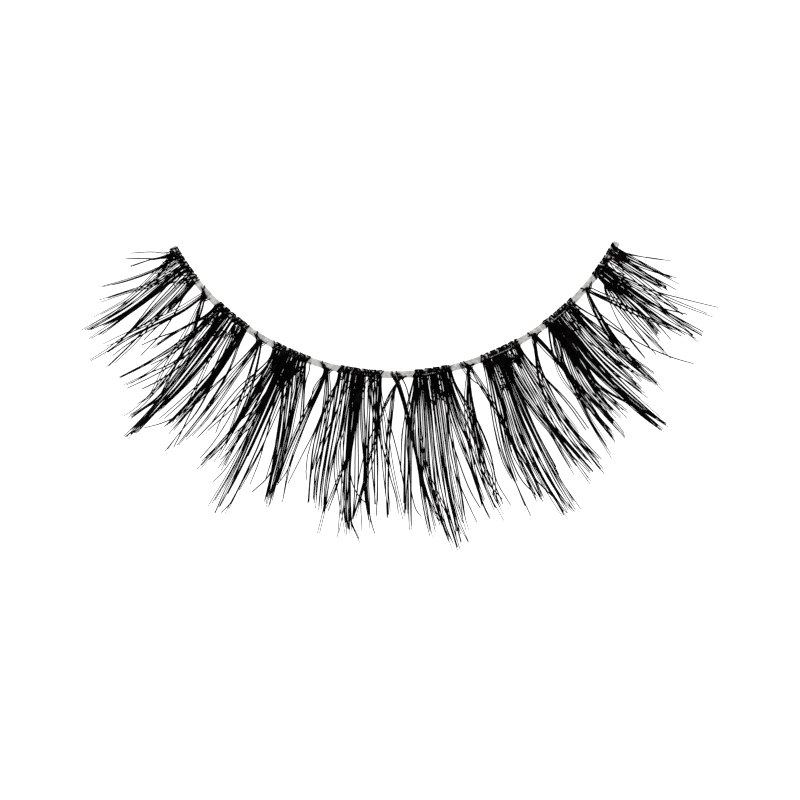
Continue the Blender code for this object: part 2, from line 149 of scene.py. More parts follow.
CLUSTERS = [
    Bunch("lash_cluster_1", -59.8, -50.6, [
        (-59.6, 0.3), (-58.5, 0.5), (-57.9, 1.4), (-56.6, 2.6), (-55.6, 2.9),
        (-54.8, 2.2), (-53.2, 1.2), (-52.2, 0.6), (-50.6, 0.5),
    ], [
        Lock([(-59.2, 0.1), (-60, 0.7), (-61, 1.1), (-63.2, 2.5)]),
        Lock([(-58.9, 0.1), (-60, 1.4), (-61, 1.9), (-62.6, 2.9)]),
        Lock([(-58.6, 0.1), (-59, 0.8), (-59.6, 1.1), (-60.9, 2.9)], 2, 0.13),
        Lock([(-58.4, 0.1), (-58.9, 0.7), (-59.9, 1.5)]),
        Lock([(-57.5, 0.1), (-57.8, 1.4), (-59.1, 3.6), (-60.2, 5.1)], 3, 0.17),
        Lock([(-54.9, 0.1), (-56, 2.7), (-56.9, 3.5), (-58.4, 5.6)], 3, 0.24),
        Lock([(-58.2, 0.1), (-58, 1), (-56.8, 2.7), (-56.1, 4.2), (-56.3, 5), (-56.6, 6.4)], 2, 0.19),
        Lock([(-57.1, 0.1), (-56.6, 2), (-56, 3.2), (-55.5, 5.2), (-55.8, 6.9)], 2, 0.26),
        Lock([(-56.4, 0.1), (-56, 2), (-55.3, 4.6), (-55.4, 5.6), (-55.9, 7.5)], 2, 0.26),
        Lock([(-55.5, 0.1), (-55.2, 2.2), (-55, 4.6), (-55.7, 7.3)], 2, 0.19),
        Lock([(-54.9, 0.1), (-54.5, 2.2), (-54.2, 3.4), (-54.4, 5.4), (-55.2, 7)], 5, 0.26),
        Lock([(-54.1, 0.1), (-53.7, 6.8)], 3, 0.17),
        Lock([(-54.3, 0.1), (-54.1, 1), (-53.9, 5), (-54.1, 6.4), (-54.2, 7.5)], 2, 0.2),
        Lock([(-54.5, 0.4), (-53.2, 2.5), (-51.5, 4.8), (-51, 6.2)]),
        Lock([(-54, 0.1), (-51.1, 5.4)]),
        Lock([(-53.3, 0.1), (-52.4, 1.7), (-51.4, 4.4), (-51.1, 5.3), (-51.1, 5.9)]),
        Lock([(-52.7, 0.1), (-51.6, 2.5), (-50.9, 5)], 2, 0.17),
        Lock([(-52.3, 0.1), (-51, 2.2), (-50.6, 3.5), (-50.9, 5)]),
        Lock([(-52.1, 0.1), (-51.6, 0.5), (-50.3, 2.6), (-49.6, 3.9)], 2, 0.13),
        Lock([(-51.3, 0.1), (-50.7, 1.1), (-50.2, 3.2), (-49.4, 5.4), (-49.1, 7.7)], 3, 0.25),
        Lock([(-51.6, 0.1), (-51, 0.8), (-50.6, 2.6), (-50.5, 4.2)]),
        Lock([(-51, 0.1), (-50.1, 1.3), (-49.9, 2.1), (-49.5, 2.7)], 3, 0.17),
        Lock([(-50.7, 0.1), (-49.4, 2.8)], 2, 0.13),
        Lock([(-50.6, 0.1), (-49.7, 1.4), (-49, 1.9), (-47.5, 3.5), (-47, 5.6)]),
    ]),
    Bunch("lash_cluster_2", -43.8, -35, [
        (-43.8, 0.4), (-42.8, 0.9), (-42.0, 1.9), (-40.8, 2.6), (-39.8, 2.9),
        (-38.4, 1.7), (-36.8, 0.7), (-35.7, 1.4), (-35.0, 0.8),
    ], [
        Lock([(-43.4, 0.1), (-43.9, 1.2), (-45.3, 2.4), (-46, 3.1), (-47.2, 4), (-48.2, 5.1)]),
        Lock([(-43.3, 0.1), (-43.7, 1.2), (-44.5, 1.9), (-45.9, 3.4), (-46.6, 4.9)], 2, 0.19),
        Lock([(-43.6, 0.1), (-44, 1.1), (-45.5, 2.6), (-46.4, 4.4)]),
        Lock([(-42.7, 0.1), (-43, 1.4), (-45.3, 5.5), (-46.8, 7.5)], 3, 0.17),
        Lock([(-42.5, 0.1), (-43.7, 4), (-45.3, 5.9)], 2, 0.26),
        Lock([(-42.3, 0.1), (-42.8, 2), (-43.6, 4.4), (-44.1, 6), (-45.5, 7.6)], 2, 0.16),
        Lock([(-41, 0.1), (-41.5, 2.6), (-42.6, 4.8), (-43.9, 5.9), (-44.9, 7.2)]),
        Lock([(-40.6, 0.1), (-40.8, 2.4), (-41.3, 3.6), (-43.1, 5.8), (-44.8, 7.6)]),
        Lock([(-40.5, 0.1), (-40.6, 2.6), (-42.5, 4.7), (-44, 6)]),
        Lock([(-40.3, 0.1), (-40.8, 4.2), (-42, 5.9), (-43.1, 7)]),
        Lock([(-43.2, 0.1), (-43, 1.4), (-42, 4), (-41.4, 6.3), (-41.8, 8.4), (-42.2, 9)], 2, 0.2),
        Lock([(-42.2, 0.1), (-42.2, 1.6), (-41.4, 4.8), (-41.5, 7), (-42, 7.9)], 2, 0.16),
        Lock([(-43.9, 0.1), (-42.9, 2.8), (-41.2, 5.3)]),
        Lock([(-41.4, 0.1), (-41.2, 1.5), (-40.4, 4.8), (-40.3, 6.8), (-40.8, 7.7), (-41.6, 8.9)], 4, 0.31),
        Lock([(-41, 0.1), (-39.8, 6.8), (-40.1, 9), (-40.4, 9.9)], 4, 0.31),
        Lock([(-40.4, 0.1), (-39.6, 3.8), (-39.7, 8), (-39.9, 9.8)], 3, 0.28),
        Lock([(-39.7, 0.1), (-39.4, 1), (-38.9, 5.2), (-39.3, 7.8), (-39.6, 9.9)], 4, 0.25),
        Lock([(-38.8, 0.1), (-38.1, 3.2), (-38.4, 5.4), (-38.9, 7.4)], 4, 0.2),
        Lock([(-38, 0.1), (-37.5, 2.2), (-37.9, 4.4), (-38.9, 7.5)], 2, 0.16),
        Lock([(-38.9, 0.1), (-38.3, 1.8), (-36.7, 4.2), (-36, 5.8), (-36.1, 6.8)], 2, 0.16),
        Lock([(-36.1, 0.1), (-36, 1.6), (-36.1, 3.8), (-37, 5.5), (-38.1, 7.7)]),
        Lock([(-35.9, 0.1), (-36, 3.6), (-36.7, 5.8), (-37.5, 7.5)]),
        Lock([(-37.6, 0.3), (-36.8, 1.8), (-35.5, 3.9), (-35.3, 4.8)]),
        Lock([(-37.4, 0.3), (-35.5, 2.9)]),
        Lock([(-37.1, 0.2), (-36.2, 1.3), (-35.4, 2.6)]),
        Lock([(-36.8, 0.2), (-35.5, 1.6), (-35.2, 2.4)]),
        Lock([(-36, 0.1), (-35.7, 1.4), (-35.4, 3.8), (-35.9, 5.6), (-36.7, 7.9)], 4, 0.25),
        Lock([(-35.4, 0.1), (-35.3, 3.8), (-35.9, 6.6), (-36, 7.4)], 3, 0.26),
        Lock([(-35.3, 0.1), (-35.1, 1.2), (-35, 3.6), (-35.1, 5.6), (-35.7, 7.7)], 2, 0.17),
        Lock([(-35.1, 0.1), (-34.8, 1.3), (-34.6, 2.4), (-34.7, 4.8), (-35.2, 6.8), (-35.5, 8.1)], 2, 0.1),
        Lock([(-35, 0.1), (-34.8, 3.4), (-35.6, 6.3), (-37.4, 7.8), (-39, 8.7)]),
        Lock([(-35.2, 0.1), (-35, 3), (-34.8, 6), (-34.1, 7.9), (-33.9, 8.6)]),
        Lock([(-35.2, 0.1), (-35, 1.8), (-34.7, 3.6), (-34, 6), (-34.4, 7.8), (-34.5, 9.1)], 2, 0.1),
        Lock([(-35, 0.1), (-34.6, 1), (-33.6, 2.2), (-33, 3.6), (-33, 5.4)], 2, 0.13),
        Lock([(-35.1, 0.1), (-34.7, 1), (-33.1, 3.4), (-33, 4.4)]),
    ]),
    Bunch("lash_cluster_3", -28, -19.4, [
        (-27.9, 0.3), (-26.6, 0.9), (-25.4, 2.4), (-23.6, 3.1), (-22.0, 1.8),
        (-20.8, 0.8), (-20.2, 1.4), (-19.4, 0.4),
    ], [
        Lock([(-27.4, 0.1), (-27.5, 0.9), (-28.1, 1.6), (-29.9, 3.1), (-30.7, 4.6), (-31, 6)]),
        Lock([(-26.9, 0.1), (-27.2, 1.4), (-28.5, 3), (-30.8, 5.8), (-31.7, 7.3)]),
        Lock([(-26.9, 0.1), (-27.4, 2.6), (-29.4, 4.9), (-30.9, 6.6)]),
        Lock([(-27.1, 0.1), (-27.4, 1.4), (-29.5, 3.5), (-29.9, 5.8), (-29.6, 6.5)]),
        Lock([(-27.9, 0.1), (-27.5, 0.8), (-28.6, 2), (-29, 2.6), (-28.7, 4.4)]),
        Lock([(-27.3, 0.1), (-27.2, 2.5), (-27.4, 5.5), (-27.8, 6.3), (-29.3, 8.4)], 3, 0.17),
        Lock([(-26.7, 0.1), (-26.5, 1), (-26.9, 3), (-27.6, 6), (-28.4, 7.4), (-29.2, 9)], 3, 0.21),
        Lock([(-26.3, 0.1), (-26.2, 1.1), (-26.9, 3.1), (-27.2, 4.3), (-27.3, 6.4), (-28.5, 8.1)]),
        Lock([(-25.9, 0.1), (-26, 1.4), (-26.4, 2.5), (-27.1, 4.5), (-27.3, 5.6), (-27.7, 8.1)], 2, 0.16),
        Lock([(-25.4, 0.1), (-25.9, 2.5), (-26.8, 3.9), (-27.4, 5.8)], 3, 0.26),
        Lock([(-24.7, 0.1), (-24.8, 2), (-25.2, 3), (-25.8, 4.1), (-27.2, 5.2)]),
        Lock([(-24.6, 0.1), (-25.3, 4.4), (-26.9, 6)]),
        Lock([(-24.5, 0.1), (-24.5, 3.4), (-24.8, 5), (-25.9, 6), (-26.5, 7.2), (-27, 7.8)]),
        Lock([(-25.1, 0.1), (-25.2, 3.8), (-26, 5.2), (-26.8, 7.2)], 2, 0.16),
        Lock([(-25, 0.1), (-25.1, 4.2), (-25.9, 6.2), (-26.6, 8.3)], 2, 0.16),
        Lock([(-25.7, 0.1), (-26.1, 8.4)], 2, 0.16),
        Lock([(-24.9, 0.1), (-24.8, 3), (-25.3, 7), (-26, 8.6), (-26.5, 9.2)]),
        Lock([(-25.1, 0.1), (-25, 1), (-24.8, 5), (-25, 8), (-25.6, 10.7)], 2, 0.2),
        Lock([(-24.8, 0.1), (-24.8, 1), (-24.7, 5), (-24.6, 8), (-25, 10.2)], 2, 0.2),
        Lock([(-24.3, 0.1), (-24.3, 1), (-24.4, 5), (-24.3, 8), (-24.4, 9.4), (-24.4, 10.9)], 3, 0.14),
        Lock([(-24, 0.1), (-24, 1), (-24, 3), (-24, 7.5), (-24, 9), (-24.2, 10.4)]),
        Lock([(-23.5, 0.1), (-23.5, 1), (-23.5, 5), (-23.7, 8), (-24, 10)], 3, 0.17),
        Lock([(-22.9, 0.1), (-23.5, 7.2)], 2, 0.16),
        Lock([(-22.5, 0.1), (-22.6, 1.5), (-22.6, 6), (-22.7, 8.2), (-23.1, 10.7)], 2, 0.14),
        Lock([(-22.7, 0.1), (-22.7, 4), (-22.6, 7.4), (-22.8, 9), (-23.1, 10), (-23.7, 10.7)]),
        Lock([(-23.4, 0.1), (-22.9, 3.4), (-21.8, 5.6), (-22.1, 7.2), (-22.6, 9)]),
        Lock([(-21.9, 0.1), (-21.6, 1.9), (-21.8, 5.2), (-23.1, 10)]),
        Lock([(-22.2, 0.1), (-22, 5), (-21.5, 7), (-21.5, 8.4)]),
        Lock([(-23.6, 0.1), (-22.4, 2.2), (-21.8, 2.8), (-19.8, 5.6), (-19.1, 7.2), (-18.6, 9.2)], 5, 0.24),
        Lock([(-22.6, 0.1), (-22.1, 1.5), (-20.9, 2.9), (-19.3, 5), (-18.5, 8), (-18.2, 9.2)], 3, 0.28),
        Lock([(-22.2, 0.1), (-21.7, 1.1), (-20.6, 2.3), (-19.2, 4.4), (-18.6, 6.2), (-18.3, 8.8)], 3, 0.25),
        Lock([(-21.5, 0.1), (-21, 0.9), (-20, 2), (-19.6, 2.8), (-18.8, 4.6), (-18, 9.4)], 3, 0.21),
        Lock([(-20.7, 0.1), (-19.8, 1.8), (-18.3, 5.8), (-18, 8.2), (-17.8, 9.4)], 3, 0.2),
        Lock([(-20, 0.1), (-19.4, 1), (-18.5, 3.4), (-18, 5.2), (-18, 6.4)], 2, 0.17),
        Lock([(-20.1, 0.1), (-16.9, 4.3)]),
        Lock([(-19.9, 0.2), (-16.8, 3.7)]),
        Lock([(-19, 0.1), (-18.6, 0.6), (-18.6, 1.1), (-17.3, 2.9), (-16.9, 3.4)]),
        Lock([(-19.9, 0.1), (-19.4, 3), (-19.1, 5.6), (-19.4, 7.6), (-20.8, 8.8)]),
        Lock([(-21.6, 0.1), (-20.8, 3.6), (-19.8, 6.2), (-19.6, 7.8)]),
    ]),
    Bunch("lash_cluster_4", -12.4, -2.6, [
        (-12.4, 0.3), (-11.0, 0.6), (-9.8, 1.3), (-8.4, 2.5), (-7.4, 2.8),
        (-6.0, 1.4), (-4.8, 0.6), (-3.8, 0.4), (-3.2, 1.2), (-2.6, 0.6),
    ], [
        Lock([(-12.2, 0.1), (-12.4, 1), (-12.9, 1.5), (-14.4, 4.3), (-15.2, 5.6), (-16.2, 7.6)]),
        Lock([(-11.9, 0.1), (-12.1, 1.1), (-12.7, 1.8), (-14, 6.6), (-13.6, 7.1)]),
        Lock([(-12.1, 0.1), (-12.4, 1.2), (-13.9, 4.2), (-13.4, 6.2), (-12.6, 8.5)]),
        Lock([(-12.3, 0.1), (-12.2, 1.4), (-12.9, 3.8), (-12.6, 6.4), (-12, 8.1)]),
        Lock([(-11.9, 0.1), (-12.3, 1.4), (-12.1, 2.4), (-11.6, 7.2), (-11.2, 8.7)], 2, 0.2),
        Lock([(-10, 0.1), (-10.2, 1.4), (-10.8, 2.2), (-12.9, 5.4), (-13, 6.4)]),
        Lock([(-10.7, 0.1), (-10.9, 2.2), (-11.8, 4.2), (-12.5, 6.6), (-12.2, 7.3)]),
        Lock([(-11.8, 0.1), (-11.5, 1.8), (-10.9, 7.8), (-10.6, 8.8)], 2, 0.16),
        Lock([(-11.3, 0.1), (-10.9, 2), (-10.8, 4.4), (-10.6, 7.4), (-10.3, 8.4)]),
        Lock([(-10.9, 0.1), (-10.4, 2), (-10.7, 4.2), (-10.4, 7.2), (-10.1, 8.8)]),
        Lock([(-10.3, 0.1), (-10.2, 1.2), (-10, 4.4), (-10.2, 6.6), (-10.1, 8.6), (-10.4, 10.2)], 2, 0.2),
        Lock([(-9.9, 0.1), (-9.8, 1.6), (-9.6, 3.6), (-9.9, 4.5), (-10.1, 8.5)]),
        Lock([(-9.4, 0.1), (-9.6, 4), (-9.9, 4.8), (-9.2, 6.8), (-8.8, 7.2), (-7.6, 8.8)]),
        Lock([(-9.1, 0.1), (-9.1, 2.2), (-9.2, 3.6), (-9.6, 4.6), (-8.5, 7)], 2, 0.16),
        Lock([(-9.3, 0.1), (-9.3, 1.6), (-9.3, 4), (-7.9, 6.9)], 2, 0.2),
        Lock([(-8.9, 0.1), (-8.9, 2), (-8.5, 4.6), (-7.6, 8.6), (-7.6, 10.2)], 2, 0.2),
        Lock([(-7.3, 0.1), (-7.4, 3.4), (-7.6, 4.6), (-8.9, 7), (-10.1, 9)], 2, 0.13),
        Lock([(-7.6, 0.1), (-7.7, 4), (-7.9, 5.2), (-8.8, 7.2), (-9.5, 8.7)]),
        Lock([(-8.6, 0.1), (-8.5, 2), (-8, 4.4), (-7.7, 6.6), (-7.2, 8.6), (-6.5, 10.1)], 4, 0.25),
        Lock([(-8, 0.1), (-7.9, 2), (-7.5, 5.6), (-7, 7.6), (-6.2, 10)], 4, 0.25),
        Lock([(-7.3, 0.1), (-7.2, 3.4), (-7.2, 5.6), (-6.6, 7.6), (-6, 9.1), (-4.5, 10.4)], 2, 0.16),
        Lock([(-7.8, 0.1), (-7.4, 4.4), (-7.1, 6.8), (-6.7, 7.8), (-5.9, 9.9)], 3, 0.2),
        Lock([(-6.9, 0.1), (-6.9, 3.4), (-5.9, 8.2), (-5.9, 9)]),
        Lock([(-6.8, 0.1), (-6.8, 2.4), (-5.6, 7.2), (-5.8, 8.8)]),
        Lock([(-6.9, 0.1), (-6.3, 2.6), (-4.6, 6), (-4.2, 7.5), (-3.5, 9)], 3, 0.15),
        Lock([(-6.4, 0.1), (-6.2, 1.6), (-5.2, 4.1), (-4.5, 6.6)], 3, 0.2),
        Lock([(-5.6, 0.1), (-5, 2.2), (-4.3, 6.2), (-3.3, 9.5)], 2, 0.2),
        Lock([(-2.9, 0.1), (-3.2, 3), (-4.3, 4), (-5.1, 5.2), (-5.7, 7.6)]),
        Lock([(-3.1, 0.1), (-3, 2.6), (-3.1, 3.8), (-4.4, 5.6), (-4.8, 6.9), (-5.9, 9.1)], 2, 0.17),
        Lock([(-3.3, 0.1), (-3.2, 2.6), (-3.2, 4.2), (-5, 7.5), (-5.6, 9)], 2, 0.2),
        Lock([(-5.3, 0.1), (-4.2, 2.2), (-3, 4), (-2.6, 6), (-2.4, 7.8)]),
        Lock([(-5, 0.1), (-4.2, 1.4), (-3.4, 2.8), (-3, 4.6)]),
        Lock([(-4.5, 0.1), (-3.4, 1.8), (-2.9, 4.2)]),
        Lock([(-3.7, 0.1), (-3.6, 2), (-3.4, 4.2), (-2.9, 7.2), (-2.8, 8)]),
        Lock([(-3.2, 0.1), (-3, 4), (-2.5, 7), (-2.5, 8.7)]),
        Lock([(-4.2, 0.1), (-3.9, 3.4), (-3.7, 5.2), (-2.7, 8)]),
        Lock([(-4.8, 0.1), (-4.4, 5.4), (-3.9, 7.6), (-3.1, 9.2), (-2.6, 9.8)]),
        Lock([(-5.3, 0.1), (-4.9, 5.4), (-4.8, 6.8), (-4.9, 7.6), (-4.4, 9.7)]),
        Lock([(-7.1, 0.1), (-7.1, 3.4), (-6.5, 6.8), (-5.4, 7.5), (-4.3, 7.9), (-3.8, 8)]),
        Lock([(-3, 0.1), (-2.6, 1.3), (-1.4, 2.7), (-0.7, 4.6), (0.5, 7.1), (1.6, 8.9)], 2, 0.2),
        Lock([(-3, 0.1), (-2.9, 1.6), (-2, 4), (-1.3, 5.4), (-1, 7), (-0.7, 8.8)], 2, 0.26),
        Lock([(-2.9, 0.1), (-2.8, 2.8), (-2.5, 3.6), (-1.9, 5.4), (-0.8, 8.6)]),
        Lock([(-2.9, 0.1), (-2.6, 3.9), (-1, 5.5), (-0.6, 6.2), (0.4, 7.6), (0.7, 8.5)]),
    ]),
    Bunch("lash_cluster_5", 4.6, 13.2, [
        (4.6, 0.4), (5.2, 1.4), (6.4, 1.7), (7.4, 2.5), (9.4, 1.7), (10.6, 2.2),
        (12.0, 2.4), (12.7, 1.1), (13.2, 0.3),
    ], [
        Lock([(4.7, 0.1), (2.9, 1.7), (1.8, 3.2), (1.1, 6)]),
        Lock([(4.8, 0.1), (2.6, 2.9), (2.4, 3.8), (1.8, 8.6)], 2, 0.26),
        Lock([(4.9, 0.1), (3.6, 2.4), (3.2, 3.2), (2.4, 8), (2.3, 9.6)], 2, 0.21),
        Lock([(5, 0.1), (4.2, 1.9), (3.2, 3.8), (2.4, 8.6), (2.4, 9.5)], 2, 0.21),
        Lock([(4.9, 0.1), (3.2, 3.2), (2.6, 5.6), (2.8, 7.4), (3.5, 8.5), (4, 8.8)]),
        Lock([(4.8, 0.1), (4.1, 1.2), (2.4, 3.2), (1.7, 6), (1.5, 7.9)]),
        Lock([(4.9, 0.1), (4.5, 1.2), (3.4, 4), (4.1, 5.6), (4.4, 7.6), (5, 9.8)], 2, 0.2),
        Lock([(5.1, 0.1), (4.7, 1), (4.3, 5), (4.8, 9), (5.2, 10.1)], 2, 0.26),
        Lock([(5.3, 0.1), (4.9, 2), (4.5, 5), (4.5, 6), (5.1, 7.6), (6.7, 9.3)], 3, 0.2),
        Lock([(5.7, 0.1), (5.1, 3.6), (5.1, 4.8), (4.6, 6.8), (5, 8.8), (5, 9.6)]),
        Lock([(3.9, 3.4), (3.8, 4.4), (5.2, 7.8), (5.9, 9.8)], 2, 0.16),
        Lock([(5.9, 0.1), (5.5, 3.6), (5.1, 5.6), (5.6, 7), (6.6, 9.4)], 2, 0.16),
        Lock([(6.3, 0.1), (6.2, 1.6), (5.9, 3.6), (5.7, 6.6), (6.5, 8.4), (7.9, 10.9)], 3, 0.2),
        Lock([(6.5, 0.1), (6.5, 1.8), (6.4, 7.8), (6.7, 8.6), (7.6, 10.4)], 2, 0.16),
        Lock([(4.9, 4), (5.5, 6), (7.9, 9), (8.6, 10.9)], 2, 0.16),
        Lock([(6.9, 0.1), (6.9, 2.8), (6.9, 8.8), (7.2, 9.7), (7.7, 10.5)], 3, 0.2),
        Lock([(7.2, 0.1), (7.2, 3.2), (7, 5.4), (8, 9.4), (8.5, 10.9)]),
        Lock([(7.6, 0.1), (7.7, 2), (7.5, 4.4), (7.8, 8.4), (8.6, 11.1)], 2, 0.2),
        Lock([(8.1, 0.1), (7.9, 8.8)]),
        Lock([(8.4, 0.1), (8.4, 2), (8.5, 8), (9.2, 10.7)], 3, 0.17),
        Lock([(8.9, 0.1), (8.8, 1.8), (8.5, 7.8), (8.8, 9.6), (8.7, 10.4)], 3, 0.2),
        Lock([(9.2, 0.1), (9.1, 2), (8.9, 4.4), (9.1, 9.2), (10, 10.7)], 2, 0.16),
        Lock([(9.5, 0.1), (9.5, 3.2), (9.3, 8), (9.9, 9.4)], 2, 0.16),
        Lock([(9.9, 0.1), (9.9, 3.2), (9.5, 5.2), (10, 7.8), (10, 8.6), (10.2, 10)], 2, 0.26),
        Lock([(10.4, 0.1), (10.5, 1.8), (10.1, 4), (10.1, 8.8), (10.1, 9.5)], 2, 0.26),
        Lock([(10.8, 0.1), (10.9, 1.6), (10.6, 3.8), (10.3, 8.6)]),
        Lock([(11, 0.1), (10.9, 1.8), (10.1, 3.6), (10.7, 5.4), (11.8, 7.8), (12.6, 8.8)]),
        Lock([(10.2, 0.1), (10.2, 5.6), (10.2, 6.8), (10.9, 8.2), (11.7, 9.6)]),
        Lock([(10.8, 0.1), (10.9, 1.2), (10.9, 2.2), (11.5, 4), (12.8, 7.2), (13, 8.7)], 3, 0.21),
        Lock([(11.2, 0.1), (11.3, 2.4), (12, 4.2), (12.7, 7), (13.2, 8.8), (13.7, 9.6)], 2, 0.16),
        Lock([(11.6, 0.1), (11.7, 1.2), (12.2, 3.2), (13.1, 4.7), (13.6, 6.4), (14.6, 9.1)], 3, 0.21),
        Lock([(12, 0.1), (12.1, 1.2), (13.1, 4.2), (13.1, 7.2), (13.4, 8.4)], 2, 0.16),
        Lock([(12.3, 0.1), (12.7, 1.8), (13.9, 4), (15, 6.4)], 2, 0.17),
        Lock([(12.5, 0.1), (13.1, 1.4), (13.5, 2), (14.5, 4)]),
        Lock([(12.7, 0.1), (12.9, 0.8), (13.4, 1.4), (15.1, 3.8), (15.4, 5.4)]),
        Lock([(12.9, 0.1), (13.1, 0.8), (14.2, 2), (15.6, 3.6), (16.2, 5.8), (15.8, 7.2)]),
    ]),
    Bunch("lash_cluster_6", 20, 29.4, [
        (20.2, 0.3), (21.0, 1.8), (22.2, 3.0), (24.0, 3.1), (24.8, 1.8),
        (26.2, 0.9), (27.2, 1.6), (28.6, 0.6), (29.4, 0.3),
    ], [
        Lock([(20.2, 0.1), (19.9, 0.9), (18.8, 2.7), (17.9, 4.8), (17.7, 6.4), (18.2, 7.6)]),
        Lock([(20.4, 0.1), (18, 6.5), (18.5, 7.8)]),
        Lock([(20.6, 0.1), (20.3, 1), (18.6, 4.2), (18.2, 5.9), (18.7, 8.3), (19.1, 10.1)]),
        Lock([(20.7, 0.1), (20.5, 1.2), (19.6, 3.2), (18.6, 5.9), (18.7, 8.6), (18.8, 9.4)]),
        Lock([(20.9, 0.1), (20.8, 1), (20.4, 1.8), (18.9, 5.8), (18.9, 7.8)]),
        Lock([(21, 0.1), (20.9, 1.6), (20, 3.8), (19.2, 5.8), (19.7, 8), (20.8, 9)]),
        Lock([(21.2, 0.1), (20.6, 3.4), (19.5, 5.9), (20.3, 8), (20.4, 8.6)]),
        Lock([(21.3, 0.1), (21.1, 1.4), (20.3, 3.8), (20.4, 7.8), (20.7, 9.4)], 3, 0.21),
        Lock([(21.6, 0.1), (21.4, 1.6), (20.8, 4), (20.3, 5.9), (20.9, 7.6), (21.4, 9.4)], 3, 0.26),
        Lock([(21.9, 0.1), (21.7, 1.6), (21.2, 4), (20.9, 6), (21.2, 6.8), (21.5, 9.6)], 3, 0.26),
        Lock([(22.3, 0.1), (22, 2.8), (21.4, 5), (22.9, 9.8), (23.2, 10.8)], 2, 0.21),
        Lock([(22.7, 0.1), (22.4, 2.8), (22, 6.8), (22.7, 9.1)], 2, 0.2),
        Lock([(21.3, 6), (21.4, 7.8), (23, 9.6)]),
        Lock([(23, 0.1), (22.9, 1.6), (22.3, 6.4), (22.7, 8.6), (23.7, 11.1)], 3, 0.2),
        Lock([(22.2, 3), (21.9, 4.2), (22.7, 8.2), (23.3, 10.8)]),
        Lock([(23.4, 0.1), (23.1, 3.2), (22.9, 5.6), (23.3, 7.6), (23.8, 9.4), (24.7, 10.9)], 3, 0.17),
        Lock([(23.7, 0.1), (23.2, 5.8), (23.2, 7), (23.6, 9), (24, 10.8)], 2, 0.16),
        Lock([(24, 0.1), (23.8, 3.2), (23.9, 5.6), (24.2, 8.6), (24.8, 10.8)], 3, 0.17),
        Lock([(24.3, 0.1), (24.2, 5.8), (24.7, 9.8), (25, 10.8)]),
        Lock([(24.6, 0.1), (24.5, 2), (24.3, 5.6), (24.8, 8.6), (25.3, 10.5)], 2, 0.17),
        Lock([(24.8, 0.1), (24.8, 2), (24.6, 4.4), (25, 8.4)]),
        Lock([(25, 0.1), (24.9, 3.2), (24.7, 5.4), (25.1, 7.9)]),
        Lock([(24.6, 0.1), (24.9, 8.8), (25.7, 10.9)]),
        Lock([(24.5, 0.1), (24.8, 2.6), (25.8, 4.6), (26.6, 5.8), (26.8, 7.4), (27.1, 8.8)], 3, 0.21),
        Lock([(25.1, 0.1), (25.1, 2.2), (25.6, 3.8), (27.1, 6.2), (27.7, 7.7), (28, 8.4)], 2, 0.17),
        Lock([(25.4, 0.1), (25.3, 1.4), (26.7, 4.6), (27.7, 7), (28.4, 9.6)], 2, 0.17),
        Lock([(25.7, 0.1), (25.8, 2), (26.8, 4.5), (29.1, 8.4), (29.5, 9.2)]),
        Lock([(26.1, 0.1), (26, 1.2), (26.3, 2), (26.9, 4.6), (27.8, 7.4), (28.5, 9.8)], 2, 0.2),
        Lock([(27.2, 0.1), (25, 1.7)]),
        Lock([(27.1, 0.1), (26.9, 2.4), (27.1, 3.4), (27, 4.4), (28.6, 7.6), (29.4, 9.1)], 2, 0.21),
        Lock([(27.4, 0.1), (27.2, 2.4), (27.6, 4.4), (27.5, 6.2), (27.8, 7), (29.3, 9.2)], 2, 0.2),
        Lock([(27.8, 0.1), (27.7, 1.2), (27.8, 3.2), (28.4, 6.2), (29.2, 7.8), (29.9, 9.2)], 2, 0.2),
        Lock([(28.2, 0.1), (28, 1), (28.8, 5), (28.9, 7), (29.6, 8.4)]),
        Lock([(28.4, 0.1), (28.3, 1), (29.1, 5), (29.3, 7), (29.9, 8.6)]),
        Lock([(28.6, 0.1), (28.6, 1), (29, 2.8), (29.1, 4.8), (29.8, 6.8), (30.8, 9.3)], 2, 0.2),
        Lock([(28.8, 0.1), (28.8, 0.8), (29, 1.6), (30, 6.4), (30.6, 8.8), (30.9, 9.7)], 2, 0.2),
        Lock([(28.9, 0.1), (29, 0.8), (30.2, 2.5), (31.6, 5.2), (31.8, 6.8)]),
        Lock([(29.1, 0.1), (29.2, 0.8), (30, 2.1), (31.9, 4.9), (32.3, 6.8)]),
    ]),
    Bunch("lash_cluster_7", 36.4, 44.9, [
        (36.4, 0.4), (37.2, 1.8), (38.2, 1.6), (39.4, 3.0), (40.6, 2.4),
        (41.4, 1.0), (42.6, 2.0), (43.8, 1.1), (44.9, 0.3),
    ], [
        Lock([(37.1, 0.1), (34.9, 1.3), (33.2, 3.3), (33.5, 4.7), (34.6, 6.8), (34.9, 7.8)], 2, 0.17),
        Lock([(37, 0.1), (36.4, 0.9), (35.7, 1.3), (34.2, 3.4), (33, 7.2), (32.9, 9.1)], 3, 0.17),
        Lock([(37.2, 0.1), (36.6, 1), (35.2, 2.3), (34.3, 4), (33.5, 5.6), (33.3, 8.3)], 2, 0.16),
        Lock([(37.2, 0.1), (36.8, 1.2), (34.6, 3), (34.2, 4.8), (34.6, 8.2)], 3, 0.26),
        Lock([(37.3, 0.1), (36.9, 1.4), (35, 3.5), (34.6, 6.2), (34.7, 7), (34.5, 8.4)]),
        Lock([(37.3, 0.1), (37, 1.6), (35.2, 3.8), (35, 4.6), (34.6, 7.6)]),
        Lock([(37.3, 0.1), (37, 1.8), (35.4, 4.4), (36, 7.6), (36.2, 8.5)], 2, 0.2),
        Lock([(37.4, 0.1), (37.1, 1.8), (36.2, 3.8), (35.9, 4.6), (36.4, 6), (36.8, 7.2)], 2, 0.13),
